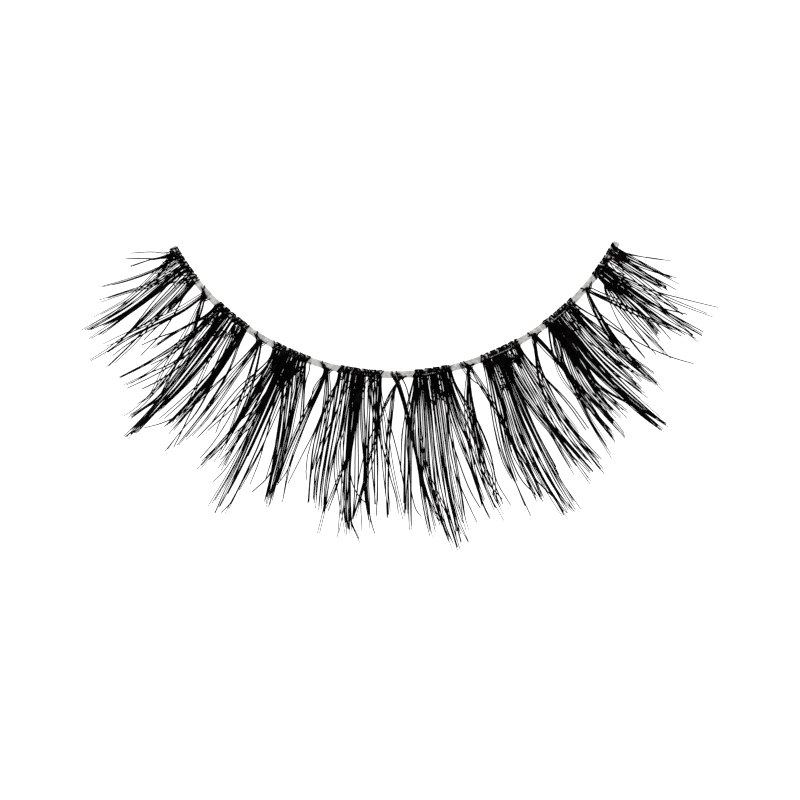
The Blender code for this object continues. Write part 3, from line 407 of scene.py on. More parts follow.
        Lock([(37.4, 0.1), (37.2, 2), (36.7, 3), (36.5, 4), (36.2, 5.6), (36, 7.4)], 2, 0.16),
        Lock([(37.5, 0.1), (37.1, 2.8), (36.8, 5.8), (37.4, 7.4)], 4, 0.21),
        Lock([(37.8, 0.1), (37.4, 2.8), (36.9, 4.6), (37.7, 5.7), (38.3, 7.6)], 3, 0.21),
        Lock([(38, 0.1), (38.1, 2.4), (38, 3.4), (37, 5), (36.9, 6.6)], 2, 0.13),
        Lock([(38.2, 0.1), (38, 1.4), (37.7, 2.6), (37.3, 4.4), (38, 6), (38.8, 7.4)], 2, 0.2),
        Lock([(38, 1.4), (37.6, 4.9), (39.2, 6.6), (40.2, 7.6)]),
        Lock([(38.5, 0.1), (38.3, 3.2), (37.8, 4.9), (38.2, 5.6), (39.9, 7.2)], 2, 0.13),
        Lock([(38.7, 0.1), (38.6, 2), (38.4, 3.2), (39.5, 6.4), (40.5, 8.8), (41.1, 9.7)], 3, 0.21),
        Lock([(39.2, 0.1), (39.1, 2), (38.8, 3.2), (39.1, 4.8), (39.8, 6.8), (40.8, 9.3)], 3, 0.2),
        Lock([(39.6, 0.1), (39.4, 3.4), (39.9, 5.6), (40.6, 7.6), (41.8, 9.5)], 4, 0.25),
        Lock([(40.1, 0.1), (39.9, 2), (40.1, 4.6), (41.1, 7.6), (41.9, 9.7)], 4, 0.25),
        Lock([(40.6, 0.1), (40.5, 1.8), (40.4, 3.4), (41.5, 8.2), (41.7, 9)], 2, 0.21),
        Lock([(40, 0.1), (40.2, 3), (39.9, 6.4), (40.9, 9.5)], 3, 0.2),
        Lock([(40.8, 0.1), (40.8, 2), (41, 4.2), (41.3, 6.6), (41.5, 7.2)]),
        Lock([(41.1, 0.1), (41, 1.4), (41.1, 3.4), (41.9, 5.8), (42.6, 7.5)], 2, 0.2),
        Lock([(40.9, 0.1), (40.8, 2.6), (40.8, 4), (41, 4.9), (42, 6.2), (42.3, 7)]),
        Lock([(42, 0.1), (41.4, 2), (42.7, 6.8)], 2, 0.17),
        Lock([(42.3, 0.1), (41.9, 1), (41.3, 2.5), (41.7, 3), (43.4, 5.4)]),
        Lock([(42.6, 0.1), (42.3, 3.4), (42.7, 6.4)], 3, 0.21),
        Lock([(43, 0.1), (42.9, 1.4), (42.7, 3.4), (42.6, 4.2), (43, 4.8), (44.5, 6.9)], 2, 0.17),
        Lock([(43.3, 0.1), (43.2, 1.4), (43, 2.4), (43.3, 4.2), (43.5, 6.5)], 2, 0.17),
        Lock([(43.5, 0.1), (43.4, 1.4), (43.3, 2.4), (43.9, 4.2), (44.7, 7)], 3, 0.17),
        Lock([(43.8, 0.1), (44, 2.2), (44.4, 4.2), (44.7, 5.8)], 2, 0.13),
        Lock([(44.1, 0.1), (44.3, 1.8), (44.8, 3.4), (44.5, 5.4)]),
        Lock([(44.2, 0.1), (44.2, 0.9), (44.9, 2.6), (44.9, 3.4)]),
        Lock([(44.4, 0.1), (44.8, 0.8), (45.8, 1.8), (47.1, 4.2), (46.6, 5.6)]),
        Lock([(44.5, 0.1), (45, 0.9), (46.3, 2.4), (46.8, 3.3), (49.6, 6.9), (50.9, 8.1)]),
    ]),
    Bunch("lash_cluster_8", 52, 60.6, [
        (52.0, 0.5), (52.6, 1.8), (53.4, 3.0), (55.0, 2.6), (56.4, 1.4),
        (57.8, 1.0), (59.6, 1.3), (60.4, 0.3),
    ], [
        Lock([(53, 0.3), (52.3, 0.7), (51.5, 0.9), (49.7, 1.8), (47.3, 3.7), (46.5, 5.7)], 2, 0.1),
        Lock([(52.8, 0.4), (50.4, 1.6), (49.5, 2.7), (48.9, 3.9), (48.2, 6)]),
        Lock([(52.4, 0.5), (50.3, 2.3), (49.4, 3.7), (48.5, 5.3)]),
        Lock([(52.5, 0.4), (51.9, 1.2), (50.6, 2.4), (49.8, 3.8), (49.6, 5.4), (49.3, 6.8)]),
        Lock([(52.5, 0.3), (51.5, 1.9), (50.9, 2.5), (49.9, 4.7), (49.4, 6.4)], 2, 0.2),
        Lock([(52.4, 0.2), (52.2, 1.4), (50.6, 3.3), (49.8, 5.6)]),
        Lock([(52.6, 0.2), (52.4, 1.5), (51.4, 2.9), (50.4, 5)]),
        Lock([(52.8, 0.2), (52.6, 1.5), (52.3, 2.5), (51.6, 4), (50.6, 5.6)], 3, 0.2),
        Lock([(53, 0.1), (52.5, 2.7), (51.6, 4.3), (51.1, 5.3)], 2, 0.13),
        Lock([(53.2, 0.1), (52.8, 2.7), (52.2, 4.4), (51.6, 5.4)], 2, 0.2),
        Lock([(53.4, 0.1), (53, 2.9), (52.3, 4.8), (51.6, 6.1)]),
        Lock([(53.6, 0.1), (53.4, 1.5), (53.2, 2.8), (52.7, 4.4), (53.4, 6)], 2, 0.2),
        Lock([(52.9, 0.1), (53.1, 4.2), (53.6, 6.6)]),
        Lock([(54, 0.1), (53.5, 4.8), (54.3, 7.3)], 2, 0.2),
        Lock([(53.5, 0.1), (53.6, 4.2), (53.8, 5.8), (54.1, 6.6), (54.1, 7.5)], 2, 0.2),
        Lock([(54.3, 0.1), (54.1, 1.5), (54.1, 2.6), (54.8, 4.9), (55.2, 7.5)], 2, 0.2),
        Lock([(54.7, 0.1), (54.5, 1.5), (54.3, 2.6), (54.6, 4.6), (54.3, 7)], 2, 0.2),
        Lock([(55, 0.1), (54.9, 1.5), (54.9, 3.6), (54.8, 6), (55.1, 7.5)], 2, 0.2),
        Lock([(54.6, 0.1), (54.8, 4.2), (55.1, 5.4), (55.6, 7.4)]),
        Lock([(54.4, 0.1), (54.3, 2.8), (54.6, 4), (56.5, 6)]),
        Lock([(56.6, 0.1), (56.6, 1.4), (56, 2.8), (55.1, 4.6)]),
        Lock([(55.4, 0.1), (55.4, 1.2), (56.1, 2.6), (57.2, 5), (58.4, 7.4)], 2, 0.2),
        Lock([(55.8, 0.1), (55.7, 1.2), (56, 1.9), (56.6, 3.3), (58.4, 5.4), (60, 7.4)]),
        Lock([(55, 0.1), (55.1, 1.8), (55.7, 3.3), (56.2, 5.6)], 2, 0.13),
        Lock([(57.3, 0.1), (57, 2.2), (56.2, 5), (56.1, 5.8)], 2, 0.2),
        Lock([(57, 0.1), (57.2, 1.4), (57.7, 2.8), (57.8, 3.9)], 2, 0.13),
        Lock([(58, 0.1), (58, 2.8), (58.4, 4.1)], 3, 0.2),
        Lock([(58.6, 0.1), (58.6, 2), (58.2, 4.2)], 2, 0.17),
        Lock([(58.3, 0.1), (59, 4.6)]),
        Lock([(59.4, 0.1), (58.9, 1.8), (58.6, 4)]),
        Lock([(58.9, 0.1), (59.4, 2), (60.1, 3.2), (60.9, 4.3)], 2, 0.13),
        Lock([(59.7, 0.1), (59.6, 0.9), (60, 2.4), (60.2, 4.6)], 2, 0.2),
        Lock([(60.1, 0.1), (60.1, 1.7), (60.3, 3.9)], 2, 0.17),
        Lock([(60.2, 0.1), (59.9, 0.5), (60.3, 0.9), (62, 2.5), (63.2, 3.5)], 2, 0.07),
    ]),
]

TUFTS = [
    Bunch("accent_tuft_1", -47.6, -46.5, [], [
        Lock([(-48.7, 0), (-47.8, 0.1), (-47.1, 0.5)], 3, 0.4),
        Lock([(-46, 0.1), (-46.6, 0.4), (-47.1, 0.7)], 3, 0.4),
        Lock([(-47.5, 0.1), (-48.5, 2.1), (-50, 3.9), (-51.2, 5.7), (-52.1, 6.9)], 2, 0.34),
        Lock([(-47.4, 0.1), (-48, 1.6), (-49.6, 3.6), (-51, 5.8), (-51.2, 6.9), (-51.6, 8.2)], 2, 0.19),
        Lock([(-47.2, 0.1), (-47.8, 1.8), (-48.6, 2.8), (-50.6, 5.9), (-50.9, 7)]),
        Lock([(-47, 0.1), (-47.6, 1.8), (-48.4, 2.9), (-49.9, 5.9), (-50, 6.9)]),
        Lock([(-47.3, 0.1), (-47.9, 1.8), (-48.8, 3.4), (-48.6, 4.8)]),
        Lock([(-47, 0.1), (-46.6, 0.6), (-45.6, 1.1), (-43.6, 2.3), (-42.8, 3.1), (-40.2, 6.6)], 3, 0.2),
        Lock([(-47.1, 0.1), (-46.6, 0.7), (-45.3, 1.8), (-43.6, 3.8), (-42.9, 4.9), (-41.5, 6.9)], 2, 0.19),
        Lock([(-46.7, 0.1), (-46.4, 0.4), (-45.6, 0.8), (-43.4, 2.2)], 2, 0.19),
    ]),
    Bunch("accent_tuft_2", -31.7, -30.7, [], [
        Lock([(-32.8, 0), (-32, 0.1), (-31, 0.6)], 3, 0.4),
        Lock([(-30, 0.1), (-30.7, 0.4), (-31.3, 0.7)], 3, 0.4),
        Lock([(-31.5, 0.1), (-31.7, 0.7), (-32.9, 2.5), (-34.5, 4.9), (-34.9, 5.8)], 2, 0.13),
        Lock([(-31.3, 0.1), (-31.6, 1.4), (-32.3, 3), (-33, 6), (-33.4, 8)], 2, 0.2),
        Lock([(-31.1, 0.1), (-31.5, 1.6), (-32.2, 3.6), (-33.6, 8.4)], 2, 0.2),
        Lock([(-31, 0.1), (-31, 0.8), (-31.5, 2.8), (-31.6, 4), (-32, 6), (-32.9, 7.8)], 2, 0.13),
        Lock([(-31.1, 0.1), (-32.1, 5.8), (-32.3, 6.6)]),
        Lock([(-31.2, 0.1), (-29.5, 2.5), (-29.1, 3), (-28.4, 4.4), (-27.6, 6.4)], 2, 0.17),
        Lock([(-30.9, 0.1), (-29, 1.7), (-27.5, 4.1), (-27.5, 6.2)], 4, 0.25),
        Lock([(-31.1, 0.1), (-29.4, 2.8), (-29, 3.6), (-28.9, 4.6), (-29.5, 7.8), (-29.8, 8.3)]),
    ]),
    Bunch("accent_tuft_3", -15.8, -14.8, [], [
        Lock([(-16.5, -0.1), (-15.9, 0), (-15, 0.7)], 3, 0.4),
        Lock([(-13.9, 0.1), (-14.5, 0.3), (-15.1, 0.7)], 3, 0.4),
        Lock([(-15.4, 0.1), (-15.4, 0.8), (-15.7, 1.2), (-17, 3.6), (-17.8, 6), (-17.9, 8.2)], 3, 0.21),
        Lock([(-15.5, 0.1), (-15.6, 0.7), (-16.2, 1.1), (-16.6, 1.6), (-16.5, 2.1), (-16.7, 2.8)]),
        Lock([(-15.2, 0.1), (-15.3, 1), (-16.3, 3), (-17.3, 5.4), (-17.8, 7.6)], 2, 0.16),
        Lock([(-15.1, 0.1), (-15.1, 1), (-16.1, 3.2), (-16.8, 6.4), (-16.2, 8.8)], 2, 0.17),
        Lock([(-15, 0.1), (-15, 1), (-15.9, 3), (-16.7, 6.2), (-16.9, 6.9), (-17.7, 7.9)]),
        Lock([(-15.1, 0.1), (-14.3, 1.5), (-13.7, 3), (-13.8, 5.2), (-13.4, 6.3), (-12.6, 8.5)]),
        Lock([(-15, 0.1), (-13.9, 1.5), (-13.3, 4.6), (-13.1, 6.8), (-12.5, 8.4)]),
        Lock([(-14.9, 0.1), (-13.6, 1.4), (-13, 3.2), (-12.5, 6.8), (-11.9, 8.2)]),
        Lock([(-14.8, 0.1), (-13.3, 1.4), (-12.1, 5.4), (-11.8, 7.8), (-11.5, 8.4)], 2, 0.16),
    ]),
    Bunch("accent_tuft_4", -0.1, 2.1, [], [
        Lock([(-0.4, -0.1), (0.1, 0.1), (0.9, 0.6)], 3, 0.4),
        Lock([(0.6, -0.1), (1.1, 0), (2.1, 0.3)], 3, 0.4),
        Lock([(2.7, 0.1), (1.9, 0.2), (0.9, 0.5)], 3, 0.4),
        Lock([(1.9, 0.1), (-0.1, 0.8), (-1.9, 1.9), (-2.9, 3.6), (-2.6, 5.6), (-2.5, 8.2)]),
        Lock([(1.8, 0.1), (-0.7, 1.3), (-1.2, 1.7), (-1.8, 2), (-2.8, 3.2)], 2, 0.13),
        Lock([(1.7, 0.1), (0.2, 0.8), (-0.9, 2.7), (-1.4, 4.6)]),
        Lock([(1.6, 0.1), (0.4, 0.8), (-0.5, 2.8), (-0.8, 6.8), (-0.9, 8.8)]),
        Lock([(1.5, 0.1), (0.1, 1), (-0.2, 1.7), (-1.1, 5), (-1, 7.2), (-0.8, 8.8)], 2, 0.2),
        Lock([(-0.9, 2.8), (0.9, 5.2), (1.8, 7.3)]),
        Lock([(0.1, 0.1), (1.5, 1.1), (1.9, 1.6), (2.6, 2.4), (4, 5.6), (4.3, 7.6)], 3, 0.14),
        Lock([(0.6, 0.1), (1.3, 0.6), (3.2, 3)], 2, 0.13),
        Lock([(1.6, 0.1), (2.5, 0.6), (3.4, 2)]),
        Lock([(0.4, 0.1), (1.4, 1.2), (2.2, 2.2), (1.5, 3.7), (1.2, 5.9)]),
        Lock([(0.3, 0.1), (2.6, 2.8), (2.3, 4.4), (2.3, 5.4), (1.9, 7.2), (1.8, 8.5)], 2, 0.17),
    ]),
    Bunch("accent_tuft_5", 16.3, 17.7, [], [
        Lock([(15.4, -0.1), (15.8, 0.2), (16.6, 0.9)], 3, 0.4),
        Lock([(16.1, -0.1), (16.7, 0.1), (17.5, 0.6)], 3, 0.4),
        Lock([(18.3, 0.1), (17.6, 0.2), (16.4, 0.7)], 3, 0.4),
        Lock([(17, 0.1), (14.7, 1.9), (13.2, 5.2), (13.1, 6.2)], 2, 0.17),
        Lock([(17.2, 0.1), (16.1, 0.9), (14.8, 2.4), (14.3, 4.6), (14.2, 5.6), (15.1, 7.8)], 3, 0.25),
        Lock([(16.9, 0.1), (16.5, 0.6), (14.9, 3.2), (14.4, 6), (14.1, 7), (15.5, 9.9)], 2, 0.26),
        Lock([(17, 0.1), (16, 1.6), (15.2, 3.8), (15, 5.8), (15, 7.6), (15.3, 9)]),
        Lock([(15.5, 2.7), (15.4, 3.4), (15.7, 4), (16.1, 6.4), (15.9, 7.2), (16.9, 9.1)]),
        Lock([(16.7, 0.1), (16.1, 1), (15.4, 5), (15.8, 6.9), (15.2, 8.4), (15.5, 9)], 2, 0.17),
        Lock([(16.8, 0.1), (16.2, 1), (15.1, 3.4), (14.9, 6.4), (15.3, 7.2), (15.9, 8.9)]),
        Lock([(16.7, 0.3), (15.6, 2.2), (14.3, 5), (14.4, 7.2), (16, 8.6)]),
        Lock([(17.2, 0.1), (19.1, 2.2), (19.8, 4), (19.8, 6)], 2, 0.17),
        Lock([(17, 0.1), (18.3, 1.7), (19.2, 3.3), (20.1, 5.6), (20.6, 7.6)], 2, 0.17),
        Lock([(16.4, 0.7), (16.8, 1), (18, 1.5), (19.2, 3)]),
        Lock([(17, 0.1), (18.2, 1.9), (19.9, 3.9), (20.6, 5.8)]),
    ]),
    Bunch("accent_tuft_6", 32.4, 33.8, [], [
        Lock([(32.1, 0), (32.8, 0.05), (33.4, 0.05)], 3, 0.4),
        Lock([(34.7, 0.2), (33.9, 0.2), (32.6, 0.4)], 3, 0.4),
        Lock([(33.4, 0.05), (33.2, 0.3), (33.6, 0.8)], 3, 0.4),
        Lock([(33, 0.1), (32.4, 0.3), (31.7, 0.8), (29.3, 2.5), (28.2, 4.6)], 2, 0.2),
        Lock([(33.2, 0.1), (31.8, 0.9), (28.9, 3.8), (29.2, 5.4), (30.1, 7.2), (30.9, 9.3)], 2, 0.21),
        Lock([(32.8, 0.2), (30.8, 1.7), (30.1, 3), (30, 4.6), (30.7, 6.7)], 2, 0.2),
        Lock([(32.6, 0.4), (31.2, 1.4), (30.3, 2.8), (30.1, 4.4), (30, 6.4), (31.2, 8.7)]),
        Lock([(32.7, 0.3), (30.7, 2.2), (30.3, 3.4), (30.1, 6), (31, 7.8), (31.5, 8.8)]),
        Lock([(32.9, 0.1), (33.9, 1.7), (34.4, 3.2), (35, 4.8), (35.9, 7.2), (36.2, 8.5)], 3, 0.17),
        Lock([(33.3, 0.1), (33.7, 0.7), (34.4, 2.8), (36, 7.6)], 3, 0.17),
        Lock([(32.7, 0.3), (32.9, 0.9), (34.1, 2.7)]),
        Lock([(33.1, 0.1), (34.2, 2.2), (34.3, 4.4), (34.6, 6.4), (35.1, 8)], 2, 0.13),
    ]),
    Bunch("accent_tuft_7", 48.3, 49.3, [], [
        Lock([(48, 0), (48.7, 0.05), (49.2, 0.1)], 3, 0.4),
        Lock([(50.4, 0.05), (49.6, 0.2), (48.2, 0.4)], 3, 0.4),
        Lock([(48.7, 0.1), (47.6, 0.6), (45.4, 2.2), (43.9, 4.6)], 3, 0.14),
        Lock([(48.8, 0.1), (46.6, 1.7), (45.1, 4.7), (45, 7.9)], 3, 0.17),
        Lock([(48.6, 0.1), (46.1, 2.2), (44.8, 4.1), (44.8, 7.3)], 2, 0.2),
        Lock([(48.5, 0.2), (47.5, 1), (44.9, 3.8), (45.8, 6.7)], 2, 0.13),
        Lock([(47.7, 0.7), (47.1, 1.1), (47.1, 2.8), (47.3, 4), (47, 4.5)]),
        Lock([(46.2, 2.5), (45.7, 3.3), (45.4, 4), (45.9, 4.6)]),
        Lock([(48.6, 0.1), (50.2, 1.8), (51, 2.9), (53.2, 5.8)], 2, 0.2),
        Lock([(48.9, 0.1), (49.8, 1.2), (51.3, 2.6), (52, 3.8), (53.1, 6.5)]),
        Lock([(49.1, 0.1), (49.6, 0.3), (50.1, 0.8), (51.6, 2.2)]),
        Lock([(48.5, 0.3), (50.1, 2.1), (51.5, 4)]),
    ]),
]


def principled(name):
    """A new material, its node tree and its surface shader."""
    made = bpy.data.materials.new(name)
    made.use_nodes = True
    return made, made.node_tree, made.node_tree.nodes["Principled BSDF"]


def noise_colour(tree, scale, detail, stops):
    """A noise in the object's own space, coloured by a ramp of (place, colour) stops."""
    place = tree.nodes.new("ShaderNodeTexCoord")
    noise = tree.nodes.new("ShaderNodeTexNoise")
    noise.inputs["Scale"].default_value = scale
    noise.inputs["Detail"].default_value = detail
    ramp = tree.nodes.new("ShaderNodeValToRGB")
    ramp.color_ramp.elements[0].position, ramp.color_ramp.elements[0].color = stops[0]
    ramp.color_ramp.elements[1].position, ramp.color_ramp.elements[1].color = stops[1]
    tree.links.new(place.outputs["Object"], noise.inputs["Vector"])
    tree.links.new(noise.outputs["Fac"], ramp.inputs["Fac"])
    return noise, ramp


def hair_material():
    """Black fibre with faint warm-brown painted glints in places."""
    made, tree, surface = principled("lash_hair")
    black = (0.0006, 0.0005, 0.0005, 1.0)
    # Painted glints: the brown noise patches stand in for glints of light on the black fibre.
    painted_glint_brown = (0.0130, 0.0070, 0.0055, 1.0)
    _, ramp = noise_colour(tree, scale=1100.0, detail=3.0, stops=[(0.56, black), (0.80, painted_glint_brown)])
    tree.links.new(ramp.outputs["Color"], surface.inputs["Base Color"])
    surface.inputs["Roughness"].default_value = 0.46
    surface.inputs["Specular IOR Level"].default_value = 0.025
    return made


def band_material():
    """Clear milky plastic, with fine specks."""
    made, tree, surface = principled("clear_plastic")
    dull = (0.44, 0.43, 0.41, 1.0)
    pale = (0.84, 0.83, 0.80, 1.0)
    noise, ramp = noise_colour(tree, scale=5200.0, detail=4.0, stops=[(0.34, dull), (0.66, pale)])
    tree.links.new(ramp.outputs["Color"], surface.inputs["Base Color"])
    surface.inputs["Roughness"].default_value = 0.38
    surface.inputs["Transmission Weight"].default_value = 0.25
    surface.inputs["IOR"].default_value = 1.46
    bump = tree.nodes.new("ShaderNodeBump")
    bump.inputs["Strength"].default_value = 0.25
    bump.inputs["Distance"].default_value = 0.01 * MM
    tree.links.new(noise.outputs["Fac"], bump.inputs["Height"])
    tree.links.new(bump.outputs["Normal"], surface.inputs["Normal"])
    return made


def floor_material():
    """White acrylic, lit from below so that shadows stay faint."""
    made, tree, surface = principled("lit_floor")
    grey = (0.86, 0.86, 0.86, 1.0)
    white = (0.90, 0.90, 0.90, 1.0)
    _, ramp = noise_colour(tree, scale=40.0, detail=2.0, stops=[(0.3, grey), (0.7, white)])
    tree.links.new(ramp.outputs["Color"], surface.inputs["Base Color"])
    surface.inputs["Roughness"].default_value = 0.7
    surface.inputs["Specular IOR Level"].default_value = 0.2
    surface.inputs["Emission Color"].default_value = (1.0, 1.0, 1.0, 1.0)
    surface.inputs["Emission Strength"].default_value = FLOOR_GLOW
    return made


def photo_point():
    """The point on the floor at the middle of the photograph."""
    across = (PHOTO_SIZE / 2 - PHOTO_ARC_CENTRE[0]) * PHOTO_SCALE
    down = (PHOTO_SIZE / 2 - PHOTO_ARC_CENTRE[1]) * PHOTO_SCALE
    return ARC_CENTRE + Vector((across, -down, 0.0))


def on_strip(angle, reach, height):
    """The point at this angle, this far out from the band's middle line and this high over the floor."""
    turn = math.radians(angle)
    radius = BAND_RADIUS + reach
    return ARC_CENTRE + Vector((radius * math.sin(turn), -radius * math.cos(turn), height))


def where_seen(point):
    """Moves a raised point toward the camera's axis, so that it is seen where it was measured."""
    axis = photo_point()
    shrink = (CAMERA_HEIGHT - point.z) / (CAMERA_HEIGHT - BAND_HEIGHT)
    return Vector((
        axis.x + (point.x - axis.x) * shrink,
        axis.y + (point.y - axis.y) * shrink,
        point.z,
    ))


def curl_height(reach):
    """How high the hair curls up, this far out from the band."""
    past = max(0.0, reach - CURL_REACH) / (CURL_FULL_REACH - CURL_REACH)
    return CURL_HEIGHT * past ** 2


def lift(reach):
    """How much higher a hair lies where it crosses the band's top; reach is in millimetres."""
    near, far = HAIR_LIFT_REACH
    return HAIR_LIFT * min(1.0, max(0.0, (far - reach) / (far - near)))


def strand_curve(name, strands, width, material):
    """One curve object of many tapered strands; each strand is a list of (point, share of the width)."""
    curve = bpy.data.curves.new(name, "CURVE")
    curve.dimensions = "3D"
    curve.bevel_depth = width / 2
    curve.bevel_resolution = 1
    curve.use_fill_caps = True
    for strand in strands:
        spline = curve.splines.new("POLY")
        spline.points.add(len(strand) - 1)
        for point, (place, share) in zip(spline.points, strand):
            point.co = (*place, 1.0)
            point.radius = share
    curve.materials.append(material)
    made = bpy.data.objects.new(name, curve)
    bpy.context.scene.collection.objects.link(made)
    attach(made, "root")
    return made


def smooth_line(points, steps):
    """A smooth line through the points, with this many steps between each two of them."""
    lengths = [(after - before).length for before, after in zip(points, points[1:])]
    slopes = [(after - before) / length for before, after, length in zip(points, points[1:], lengths)]
    tangents = [slopes[0]]
    for number in range(1, len(slopes)):
        before, after = lengths[number - 1], lengths[number]
        tangents.append((slopes[number - 1] * after + slopes[number] * before) / (before + after))
    tangents.append(slopes[-1])
    line = []
    for number, length in enumerate(lengths):
        start, end = points[number], points[number + 1]
        leave, arrive = tangents[number] * length / 3, tangents[number + 1] * length / 3
        line += interpolate_bezier(start, start + leave, end - arrive, end, steps + 1)[:-1]
    return line + [points[-1]]


def hair_points(lock, number, chance):
    """The places of one hair of a lock, beside the lock's route."""
    side = (2 * number + 1) / lock.hairs - 1.0 + chance.gauss(0.0, HAIR_UNEVENNESS) / lock.hairs
    low = chance.uniform(*HAIR_HEIGHT) * MM
    curl = chance.uniform(*HAIR_CURL)
    thickness = chance.uniform(*HAIR_THICKNESS)
    last = len(lock.route) - 1
    points = []
    for place, (angle, reach) in enumerate(lock.route):
        along = place / last
        bulge = LOCK_END_SHARE + LOCK_BULGE * math.sin(math.pi * along)
        beside = LOCK_LOOSENESS[lock.hairs] * lock.spread * side * bulge
        stray = chance.gauss(0.0, HAIR_STRAY) if lock.hairs > 1 else 0.0
        height = BAND_HEIGHT + low * (1.0 - along) + curl * curl_height(reach * MM) + lift(reach)
        points.append(where_seen(on_strip(angle + beside + stray, reach * MM, height)))
    return points, thickness


def hair(lock, number, chance):
    """One hair of a lock, thinning to its tip. All but the lock's first hair may end a little sooner."""
    points, thickness = hair_points(lock, number, chance)
    if lock.hairs == 1:
        thickness *= LONE_HAIR
    if number:
        end = points[-1] - points[-2]
        cut = HAIR_CUT * lock.hairs * chance.random() / end.length
        points[-1] -= end * min(HAIR_CUT_LIMIT, cut)
    line = smooth_line(points, HAIR_STEPS)
    tip_share = HAIR_TIP_WIDTH / HAIR_WIDTH
    strand = []
    for step, point in enumerate(line):
        fade = max(0.0, step / (len(line) - 1) - HAIR_TAPER_FROM) / (1.0 - HAIR_TAPER_FROM)
        strand.append((point, thickness * (1.0 - (1.0 - tip_share) * fade ** HAIR_TAPER_POWER)))
    return strand


def mass_reach(outline, angle):
    """How far out the dense mass goes at this angle, in millimetres."""
    for (before, low), (after, high) in zip(outline, outline[1:]):
        if before <= angle <= after:
            return low + (high - low) * (angle - before) / (after - before)
    return 0.0


def mass_strand(bunch, chance):
    """A short stretch of hair in the dense mass at the roots."""
    first, last = bunch.start + MASS_MARGIN, bunch.end - MASS_MARGIN
    start = chance.uniform(first, last)
    end = min(max(start + chance.uniform(-MASS_SLANT, MASS_SLANT), first), last)
    inner = MASS_ROOT + MASS_ROOT_SHARE * chance.random() * mass_reach(bunch.mass, start)
    length = MASS_LENGTH * chance.uniform(*MASS_LENGTH_SHARE)
    outer = max(inner + MASS_LEAST_LENGTH, min(inner + length, mass_reach(bunch.mass, end)))
    height = BAND_HEIGHT + chance.uniform(*MASS_HEIGHT) * MM
    strand = []
    for number in range(MASS_STEPS + 1):
        along = number / MASS_STEPS
        angle = start + (end - start) * along ** MASS_BEND_POWER
        reach = (inner + (outer - inner) * along) * MM
        share = 1.0 - MASS_TAPER * max(0.0, along - MASS_TAPER_FROM) / (1.0 - MASS_TAPER_FROM)
        strand.append((on_strip(angle, reach, height), share))
    return strand


def wrap(angle, slant, grow):
    """One turn of hair wound round the band: over the top one way and back underneath."""
    half_width = BAND_WIDTH / 2 + WRAP_ROOM * grow
    half_thickness = BAND_THICKNESS / 2 + WRAP_ROOM
    strand = []
    for number in range(WRAP_POINTS + 1):
        turn = 2 * math.pi * number / WRAP_POINTS
        reach = half_width * math.cos(turn)
        height = BAND_HEIGHT + half_thickness * math.sin(turn)
        strand.append((on_strip(angle + slant * math.cos(turn) / 2, reach, height), 1.0))
    return strand


def dash(start, end, reach, slant):
    """A short stretch of hair that lies along the band's top."""
    strand = []
    for number in range(DASH_STEPS + 1):
        along = number / DASH_STEPS
        angle = start + (end - start) * along
        strand.append((on_strip(angle, reach + slant * (along - 0.5), BAND_TOP + DASH_RISE), 1.0))
    return strand


def arm_wrap(lock):
    """The turn round the band that an arm of a tuft's knot comes from."""
    inner, outer = lock.route[0][0], lock.route[1][0]
    return wrap((inner + outer) / 2, outer - inner, ARM_GROWTH)


def tuft_knot(bunch):
    """The turns round the band of those arms of a tuft's knot that start on its middle line or inside it."""
    arms = [lock for lock in bunch.locks if lock.route[-1][1] < ARM_REACH]
    return [arm_wrap(lock) for lock in arms if lock.route[0][1] <= 0]


def cluster_knot(bunch, chance):
    """The turns of a cluster's knot, and then the dashes along its top."""
    strands = []
    angle = bunch.start + WRAP_FIRST
    while angle < bunch.end - WRAP_LAST:
        if chance.random() > WRAP_GAP_SHARE:
            slant = chance.choice((-1, 1)) * WRAP_SLANT * chance.uniform(*WRAP_SLANT_SHARE)
            strands.append(wrap(angle, slant, chance.random()))
        angle += WRAP_PITCH * chance.uniform(*WRAP_PITCH_SHARE)
    for reach in DASH_REACHES:
        angle = bunch.start + DASH_GAP * chance.random()
        while angle < bunch.end - DASH_LAST:
            stop = min(bunch.end, angle + DASH_LENGTH * chance.uniform(*DASH_LENGTH_SHARE))
            slant = chance.uniform(-DASH_SLANT, DASH_SLANT) * MM
            strands.append(dash(angle, stop, reach * MM, slant))
            angle = stop + DASH_GAP * chance.uniform(*DASH_GAP_SHARE)
    return strands


def build_bunch(bunch, material, chance):
    """The hair and the knot of one cluster or tuft, which stand for its solid."""
    strands = []
    for lock in bunch.locks:
        strands += [hair(lock, number, chance) for number in range(lock.hairs)]
    if bunch.mass:
        count = round((bunch.end - bunch.start) * MASS_PER_DEGREE)
        strands += [mass_strand(bunch, chance) for _ in range(count)]
    hairs = strand_curve(bunch.node + "_hair", strands, HAIR_WIDTH, material)
    knot = cluster_knot(bunch, chance) if bunch.mass else tuft_knot(bunch)
    strand_curve(bunch.node + "_knot", knot, WRAP_WIDTH, material)
    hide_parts(bunch.node)


def band_section():
    """The places (across, up) round the band's section."""
    section = []
    for number in range(SECTION_POINTS):
        turn = 2 * math.pi * number / SECTION_POINTS
        across = math.copysign(abs(math.cos(turn)) ** SIDE_POWER, math.cos(turn))
        up = math.copysign(abs(math.sin(turn)) ** TOP_POWER, math.sin(turn))
        groove = 1.0 - GROOVE_DEPTH * math.exp(-((abs(across) - GROOVE_PLACE) / GROOVE_WIDTH) ** 2)
        section.append(((BAND_WIDTH / 2 + BAND_GROWTH) * across, BAND_THICKNESS / 2 * up * groove))
    return section


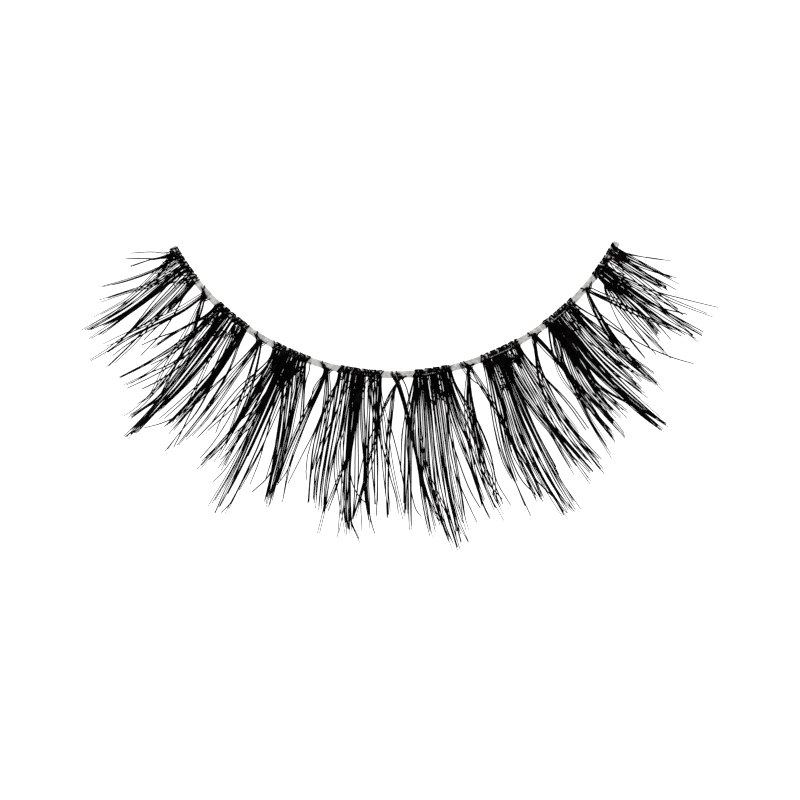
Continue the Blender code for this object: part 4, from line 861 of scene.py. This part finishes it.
def build_band(material):
    """The band as a soft-edged strip with two shallow grooves along it."""
    section = band_section()
    mesh = bmesh.new()
    rings = []
    for step in range(BAND_STEPS + 1):
        angle = BAND_START + (BAND_END - BAND_START) * step / BAND_STEPS
        rings.append([mesh.verts.new(on_strip(angle, reach, BAND_HEIGHT + up)) for reach, up in section])
    for ring, after in zip(rings, rings[1:]):
        for number in range(SECTION_POINTS):
            nxt = (number + 1) % SECTION_POINTS
            mesh.faces.new((ring[number], ring[nxt], after[nxt], after[number]))
    mesh.faces.new(rings[0])
    mesh.faces.new(rings[-1])
    bmesh.ops.recalc_face_normals(mesh, faces=mesh.faces)
    data = bpy.data.meshes.new("band_strip")
    mesh.to_mesh(data)
    mesh.free()
    data.shade_smooth()
    data.materials.append(material)
    made = bpy.data.objects.new("band_strip", data)
    bpy.context.scene.collection.objects.link(made)
    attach(made, "root")
    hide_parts("band")


def build_threads(material):
    """The clear threads that lie over three of the knots."""
    strands = []
    for start, end in THREAD_SPANS:
        places = [start + (end - start) * number / THREAD_STEPS for number in range(THREAD_STEPS + 1)]
        strands.append([(on_strip(angle, THREAD_REACH, BAND_TOP + THREAD_RISE), 1.0) for angle in places])
    strand_curve("clear_threads", strands, THREAD_WIDTH, material)


def build_floor():
    """The plain floor that the strip lies on."""
    bpy.ops.mesh.primitive_plane_add(size=FLOOR_SIZE, location=(0.0, 0.0, 0.0))
    floor = bpy.context.object
    floor.name = "floor"
    floor.data.materials.append(floor_material())


def softbox(name, place):
    """A square area light that faces the strip."""
    data = bpy.data.lights.new(name, "AREA")
    data.shape = "SQUARE"
    data.size = SOFTBOX_SIZE
    data.energy = SOFTBOX_POWER
    made = bpy.data.objects.new(name, data)
    made.location = place
    made.rotation_euler = (-Vector(place)).to_track_quat("-Z", "Y").to_euler()
    bpy.context.scene.collection.objects.link(made)


def build_light():
    """White surroundings, and softboxes over the four corners."""
    world = bpy.data.worlds.new("studio")
    world.use_nodes = True
    background = world.node_tree.nodes["Background"]
    background.inputs["Color"].default_value = (1.0, 1.0, 1.0, 1.0)
    background.inputs["Strength"].default_value = WORLD_LIGHT
    bpy.context.scene.world = world
    for number in range(SOFTBOX_COUNT):
        turn = math.radians(45 + 360 / SOFTBOX_COUNT * number)
        across, along = SOFTBOX_DISTANCE * math.cos(turn), SOFTBOX_DISTANCE * math.sin(turn)
        softbox(f"softbox_{number + 1}", (across, along, SOFTBOX_HEIGHT))


def build_camera():
    """The camera, straight above the middle of the photograph."""
    data = bpy.data.cameras.new("camera")
    data.sensor_width = SENSOR_WIDTH
    data.lens = SENSOR_WIDTH * (CAMERA_HEIGHT - BAND_HEIGHT) / (PHOTO_SIZE * PHOTO_SCALE)
    data.clip_start = 0.01
    data.clip_end = 10.0
    made = bpy.data.objects.new("camera", data)
    made.location = photo_point() + Vector((0.0, 0.0, CAMERA_HEIGHT))
    bpy.context.scene.collection.objects.link(made)
    bpy.context.scene.camera = made


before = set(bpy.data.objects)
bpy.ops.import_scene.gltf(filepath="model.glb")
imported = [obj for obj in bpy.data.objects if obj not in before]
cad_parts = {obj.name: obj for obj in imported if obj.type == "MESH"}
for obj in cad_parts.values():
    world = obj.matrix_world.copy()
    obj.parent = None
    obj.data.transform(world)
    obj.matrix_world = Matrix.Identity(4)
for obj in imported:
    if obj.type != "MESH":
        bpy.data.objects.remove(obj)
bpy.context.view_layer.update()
chance = random.Random(SEED)

build_camera()
build_light()
build_floor()

hair_look = hair_material()
band_look = band_material()
build_band(band_look)
build_threads(band_look)
for bunch in CLUSTERS + TUFTS:
    build_bunch(bunch, hair_look, chance)

bpy.context.scene.view_settings.view_transform = "Standard"
